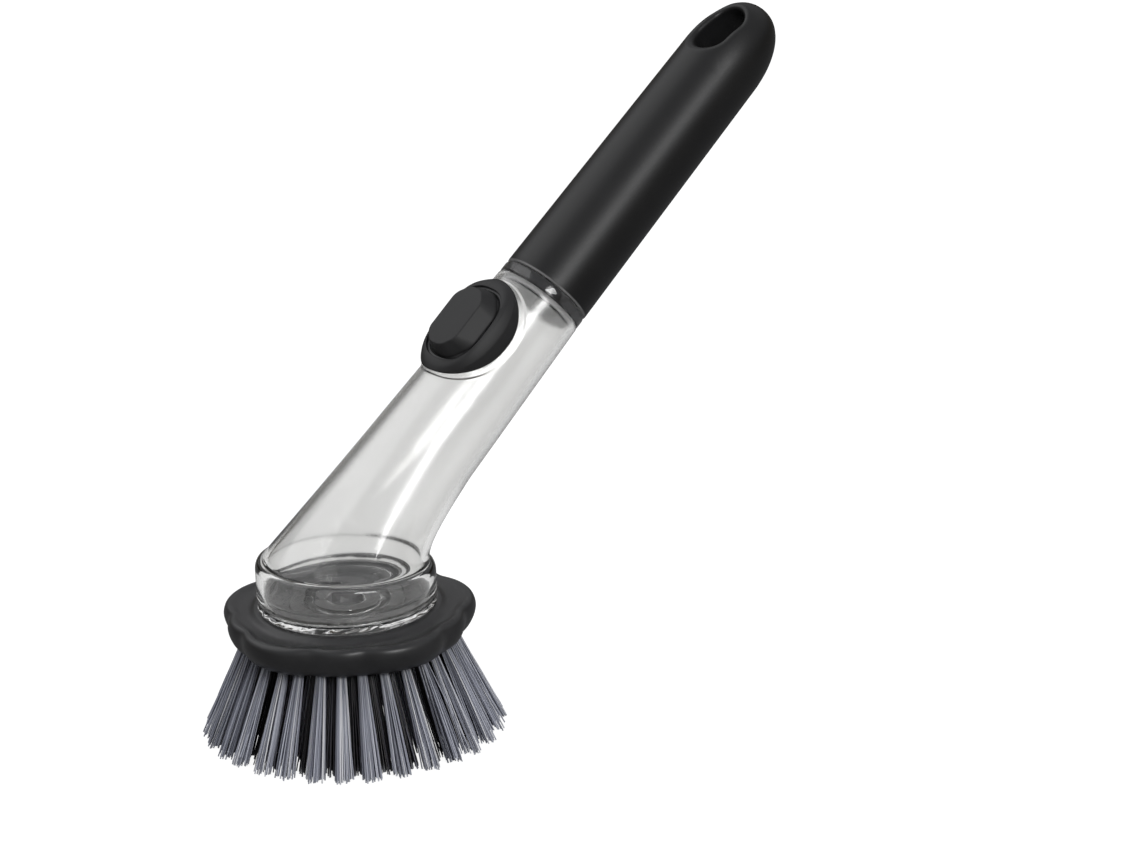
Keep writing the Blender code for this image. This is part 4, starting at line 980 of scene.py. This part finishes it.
def tuftTree():
    # filaments in tufts round a ring; every filament runs from its root to its own place at the tips
    form = bristleForm
    tree = bpy.data.node_groups.new("tuftRing", "GeometryNodeTree")
    sockets = {
        "Geometry": "Geometry", "Tufts": "Int", "Filaments": "Int", "Root Radius": "Float",
        "Tip Radius": "Float", "Tip Spread": "Float", "Step": "Float", "Seed": "Int",
        "Material": "Material",
    }
    for name, kind in sockets.items():
        tree.interface.new_socket(name=name, in_out="INPUT", socket_type=f"NodeSocket{kind}")
    tree.interface.new_socket(name="Geometry", in_out="OUTPUT", socket_type="NodeSocketGeometry")
    sheet = NodeSheet(tree)
    given = sheet.node("NodeGroupInput").socket.node

    def named(name):
        return Wire(tree, pick(given.outputs, name))

    tufts, filaments, seed = named("Tufts"), named("Filaments"), named("Seed")
    index = sheet.node("GeometryNodeInputIndex")
    tuft = (index / filaments + form["nudge"]).floor()
    local = index - tuft * filaments

    def chance(low, high, offset, key):
        return sheet.node("FunctionNodeRandomValue", {"data_type": "FLOAT"}, {
            "Min_001": low, "Max_001": high, "ID": key, "Seed": seed + offset}, "Value_001")

    tuftTurn = (tuft + named("Step")) * math.tau / tufts
    tuftTurn += chance(-form["tuftTurn"], form["tuftTurn"], 1, tuft)
    discTurn = local * form["goldenAngle"] + chance(0.0, form["fullTurn"], 2, tuft)
    discReach = ((local + 0.5) / filaments).root()
    stray = index.math("LESS_THAN", chance(0.0, 1.0, 3, index), form["strayShare"])
    loose = 1 + stray * form["strayReach"]

    def ringSpot(ringRadius, spread, jitter, height, offset):
        # the tuft's disc is turned with the tuft, and each filament is moved a little from its own place
        inwards = discReach * discTurn.cosine() * spread + chance(-1.0, 1.0, offset, index) * jitter
        sideways = discReach * discTurn.sine() * spread + chance(-1.0, 1.0, offset + 1, index) * jitter
        reach = ringRadius + inwards
        x = reach * tuftTurn.cosine() - sideways * tuftTurn.sine()
        y = reach * tuftTurn.sine() + sideways * tuftTurn.cosine()
        return sheet.node("ShaderNodeCombineXYZ", {}, {"X": x, "Y": y, "Z": height})

    lift = chance(0.0, 1.0, 8, index) ** 2.0 * form["unevenness"] * loose
    rootSpot = ringSpot(named("Root Radius"), form["rootSpread"], form["jitter"] * form["rootJitter"],
                        form["rootHeight"], 10)
    tipSpot = ringSpot(named("Tip Radius"), named("Tip Spread"), loose * form["jitter"], lift, 14)
    bow = chance(-1.0, 1.0, 20, index) * form["jitter"] * form["bow"]
    bowSpot = sheet.node("ShaderNodeCombineXYZ", {}, {
        "X": bow * tuftTurn.cosine(), "Y": bow * tuftTurn.sine(),
        "Z": chance(-form["bowLift"], form["bowLift"], 21, index)})

    shade = chance(0.0, 1.0, 5, index)

    spots = sheet.node("GeometryNodePoints", {}, {"Count": tufts * filaments})
    for name, kind, value in (("root", "FLOAT_VECTOR", rootSpot), ("tip", "FLOAT_VECTOR", tipSpot),
                              ("bow", "FLOAT_VECTOR", bowSpot), ("shade", "FLOAT", shade)):
        spots = sheet.node("GeometryNodeStoreNamedAttribute", {"data_type": kind, "domain": "POINT"}, {
            "Geometry": spots, "Name": name, "Value": value}, "Geometry")
    line = sheet.node("GeometryNodeCurvePrimitiveLine", {}, {"Start": (0, 0, 0), "End": (0, 0, 1)})
    line = sheet.node("GeometryNodeResampleCurve", {}, {"Curve": line, "Count": form["filamentPoints"]})
    lines = sheet.node("GeometryNodeInstanceOnPoints", {}, {"Points": spots, "Instance": line})
    lines = sheet.node("GeometryNodeRealizeInstances", {}, {"Geometry": lines})

    def stored(name, kind):
        return sheet.node("GeometryNodeInputNamedAttribute", {"data_type": kind}, {"Name": name}, "Attribute")

    position = sheet.node("GeometryNodeInputPosition")
    reach = sheet.node("ShaderNodeSeparateXYZ", {}, {"Vector": position}, "Z")
    lines = sheet.node("GeometryNodeStoreNamedAttribute", {"data_type": "FLOAT", "domain": "POINT"}, {
        "Geometry": lines, "Name": "reach", "Value": reach}, "Geometry")
    kept = stored("reach", "FLOAT")
    spot = sheet.vector("ADD", sheet.scaled(stored("root", "FLOAT_VECTOR"), 1 - kept),
                        sheet.scaled(stored("tip", "FLOAT_VECTOR"), kept))
    spot = sheet.vector("ADD", spot, sheet.scaled(stored("bow", "FLOAT_VECTOR"), kept * (1 - kept) * 4))
    spot = sheet.vector("ADD", spot, tuple(headFoot))
    lines = sheet.node("GeometryNodeSetPosition", {}, {"Geometry": lines, "Position": spot})
    profile = sheet.node("GeometryNodeCurvePrimitiveCircle", {}, {
        "Resolution": form["filamentSides"], "Radius": form["filamentRadius"]})
    strands = sheet.node("GeometryNodeCurveToMesh", {}, {
        "Curve": lines, "Profile Curve": profile, "Fill Caps": True})
    strands = sheet.node("GeometryNodeSetShadeSmooth", {}, {"Geometry": strands})
    joined = tree.nodes.new("GeometryNodeJoinGeometry")
    for part in (named("Geometry"), strands):
        tree.links.new(part.socket, joined.inputs[0])
    whole = sheet.node("GeometryNodeRealizeInstances", {}, {"Geometry": Wire(tree, joined.outputs[0])})
    whole = sheet.node("GeometryNodeSetMaterial", {}, {"Geometry": whole, "Material": named("Material")})
    sheet.node("NodeGroupOutput", {}, {"Geometry": whole})
    return tree


def grow(piece, tree, values):
    modifier = piece.modifiers.new("grow", "NODES")
    modifier.node_group = tree
    for item in tree.interface.items_tree:
        if item.item_type == "SOCKET" and item.in_out == "INPUT" and item.name in values:
            modifier[item.identifier] = values[item.name]
    bpy.context.view_layer.update()
    ready = piece.evaluated_get(bpy.context.evaluated_depsgraph_get())
    mesh = bpy.data.meshes.new_from_object(ready)
    piece.modifiers.remove(modifier)
    piece.data = mesh
    mesh.name = piece.name


tufts = tuftTree()
for (name, outerRadius, innerRadius, rootRadius, tipRadius, tipSpread, count, filaments, step,
     finish, slotName, node, seed) in bristleForm["rings"]:
    ring = backingRing(name, outerRadius, innerRadius, finish)
    grow(ring, tufts, {
        "Tufts": count, "Filaments": filaments, "Root Radius": rootRadius, "Tip Radius": tipRadius,
        "Tip Spread": tipSpread, "Step": step, "Seed": seed, "Material": finish})
    dress(ring, "brush_head", slotName, node)
    print("bristles made:", name, len(ring.data.polygons), "faces")


# carried-over pieces

for nodeName, finish in (("outlet_valve", valveFinish), ("valve_retainer", tankFinish),
                         ("pump_diaphragm", sealFinish), ("head_core", plugFinish),
                         ("head_seal", sealFinish)):
    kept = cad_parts[nodeName]
    kept.data.materials.clear()
    kept.data.materials.append(finish)


# studio: floor, world, lamps and camera

studio = {
    "azimuth": math.radians(-36.5), "elevation": math.radians(22.3), "roll": math.radians(3.4),
    "distance": 12.0, "pixelsPerMetre": 3120.0, "imageWidth": 1140.0, "imageHeight": 855.0,
    "anchorPixel": (347.5, 602.0), "anchorHeight": 0.0432, "sensorWidth": 36.0, "clip": (0.5, 60.0),
    "floorRadius": 1.3, "floorPoints": 96, "floorColour": (0.26, 0.26, 0.26), "floorRoughness": 0.9,
    "floorGlow": 0.92, "floorGlowThroughGlass": 0.74, "lampAim": (0.0, 0.0, 0.09),
    # each lamp's name, place, size and power
    "lamps": (("windowLamp", (-0.25, -1.35, 0.85), (0.75, 0.42), 9.0),
              ("topLamp", (-0.38, 0.80, 1.20), (1.6, 1.2), 5.5)),
    # the room's colour by share of the way from straight down to straight up
    "room": ((0.00, (0.40, 0.40, 0.40)), (0.44, (0.18, 0.16, 0.130)), (0.48, (0.08, 0.068, 0.050)),
             (0.54, (0.06, 0.054, 0.045)), (0.60, (0.20, 0.20, 0.20)), (0.66, (0.42, 0.42, 0.43)),
             (1.00, (0.44, 0.445, 0.46))),
}


def buildFloor():
    sheet = MeshSheet()
    turns = [math.tau * i / studio["floorPoints"] for i in range(studio["floorPoints"])]
    rim = sheet.loop([Vector((math.cos(turn), math.sin(turn), 0.0)) * studio["floorRadius"]
                      for turn in turns])
    sheet.faces.append(tuple(rim))
    material, nodes = blankMaterial("studioFloor")
    rays = nodes.node("ShaderNodeLightPath", {}, {}, "Is Camera Ray")
    through = Wire(nodes.tree, rays.socket.node.outputs["Is Transmission Ray"])
    glow = rays * studio["floorGlow"] + through * studio["floorGlowThroughGlass"]
    surface = nodes.node("ShaderNodeBsdfPrincipled", {}, {
        "Base Color": (*studio["floorColour"], 1), "Roughness": studio["floorRoughness"],
        "Specular IOR Level": 0.0, "Emission Color": (1, 1, 1, 1), "Emission Strength": glow})
    finishMaterial(nodes, surface)
    sheet.piece("studioFloor", material)


def buildWorld():
    world = bpy.data.worlds.new("studioWorld")
    bpy.context.scene.world = world
    world.use_nodes = True
    world.node_tree.nodes.clear()
    sheet = NodeSheet(world.node_tree)
    direction = sheet.node("ShaderNodeTexCoord", {}, {}, "Generated")
    height = sheet.node("ShaderNodeSeparateXYZ", {}, {"Vector": direction}, "Z")
    # the room is dark at the horizon and pale above it; the backdrop that the camera sees is white
    room = sheet.ramp(sheet.range(height, -1.0, 1.0, 0.0, 1.0), studio["room"])
    seen = sheet.node("ShaderNodeLightPath", {}, {}, "Is Camera Ray")
    colour = sheet.mix(seen, room, (1, 1, 1, 1))
    background = sheet.node("ShaderNodeBackground", {}, {"Color": colour, "Strength": 1.0})
    sheet.node("ShaderNodeOutputWorld", {}, {"Surface": background})


def buildLamp(name, place, size, power):
    lamp = bpy.data.lights.new(name, "AREA")
    lamp.shape = "RECTANGLE"
    lamp.size, lamp.size_y = size
    lamp.energy = power
    made = bpy.data.objects.new(name, lamp)
    made.location = place
    made.rotation_mode = "QUATERNION"
    made.rotation_quaternion = (Vector(studio["lampAim"]) - Vector(place)).to_track_quat("-Z", "Y")
    bpy.context.scene.collection.objects.link(made)


def buildCamera():
    turn, rise, roll = studio["azimuth"], studio["elevation"], -studio["roll"]
    back = Vector((math.sin(turn) * math.cos(rise), -math.cos(turn) * math.cos(rise), math.sin(rise)))
    level = Vector((math.cos(turn), math.sin(turn), 0))
    raised = back.cross(level)
    right = level * math.cos(roll) + raised * math.sin(roll)
    top = raised * math.cos(roll) - level * math.sin(roll)
    anchor = headFoot + up * studio["anchorHeight"]
    camera = bpy.data.cameras.new("studioCamera")
    camera.sensor_width = studio["sensorWidth"]
    focalPixels = studio["pixelsPerMetre"] * studio["distance"]
    camera.lens = focalPixels / studio["imageWidth"] * camera.sensor_width
    camera.clip_start, camera.clip_end = studio["clip"]
    made = bpy.data.objects.new("studioCamera", camera)
    offRight = (studio["imageWidth"] / 2 - studio["anchorPixel"][0]) / focalPixels
    offUp = (studio["anchorPixel"][1] - studio["imageHeight"] / 2) / focalPixels
    ahead = (-back + right * offRight + top * offUp).normalized()
    side = ahead.cross(top).normalized()
    head = side.cross(ahead)
    made.rotation_mode = "QUATERNION"
    made.rotation_quaternion = Matrix((side, head, -ahead)).transposed().to_quaternion()
    made.location = anchor + back * studio["distance"]
    bpy.context.scene.collection.objects.link(made)
    bpy.context.scene.camera = made


buildFloor()
buildWorld()
for lamp in studio["lamps"]:
    buildLamp(*lamp)
buildCamera()
bpy.context.scene.view_settings.view_transform = "Standard"
print("studio made")
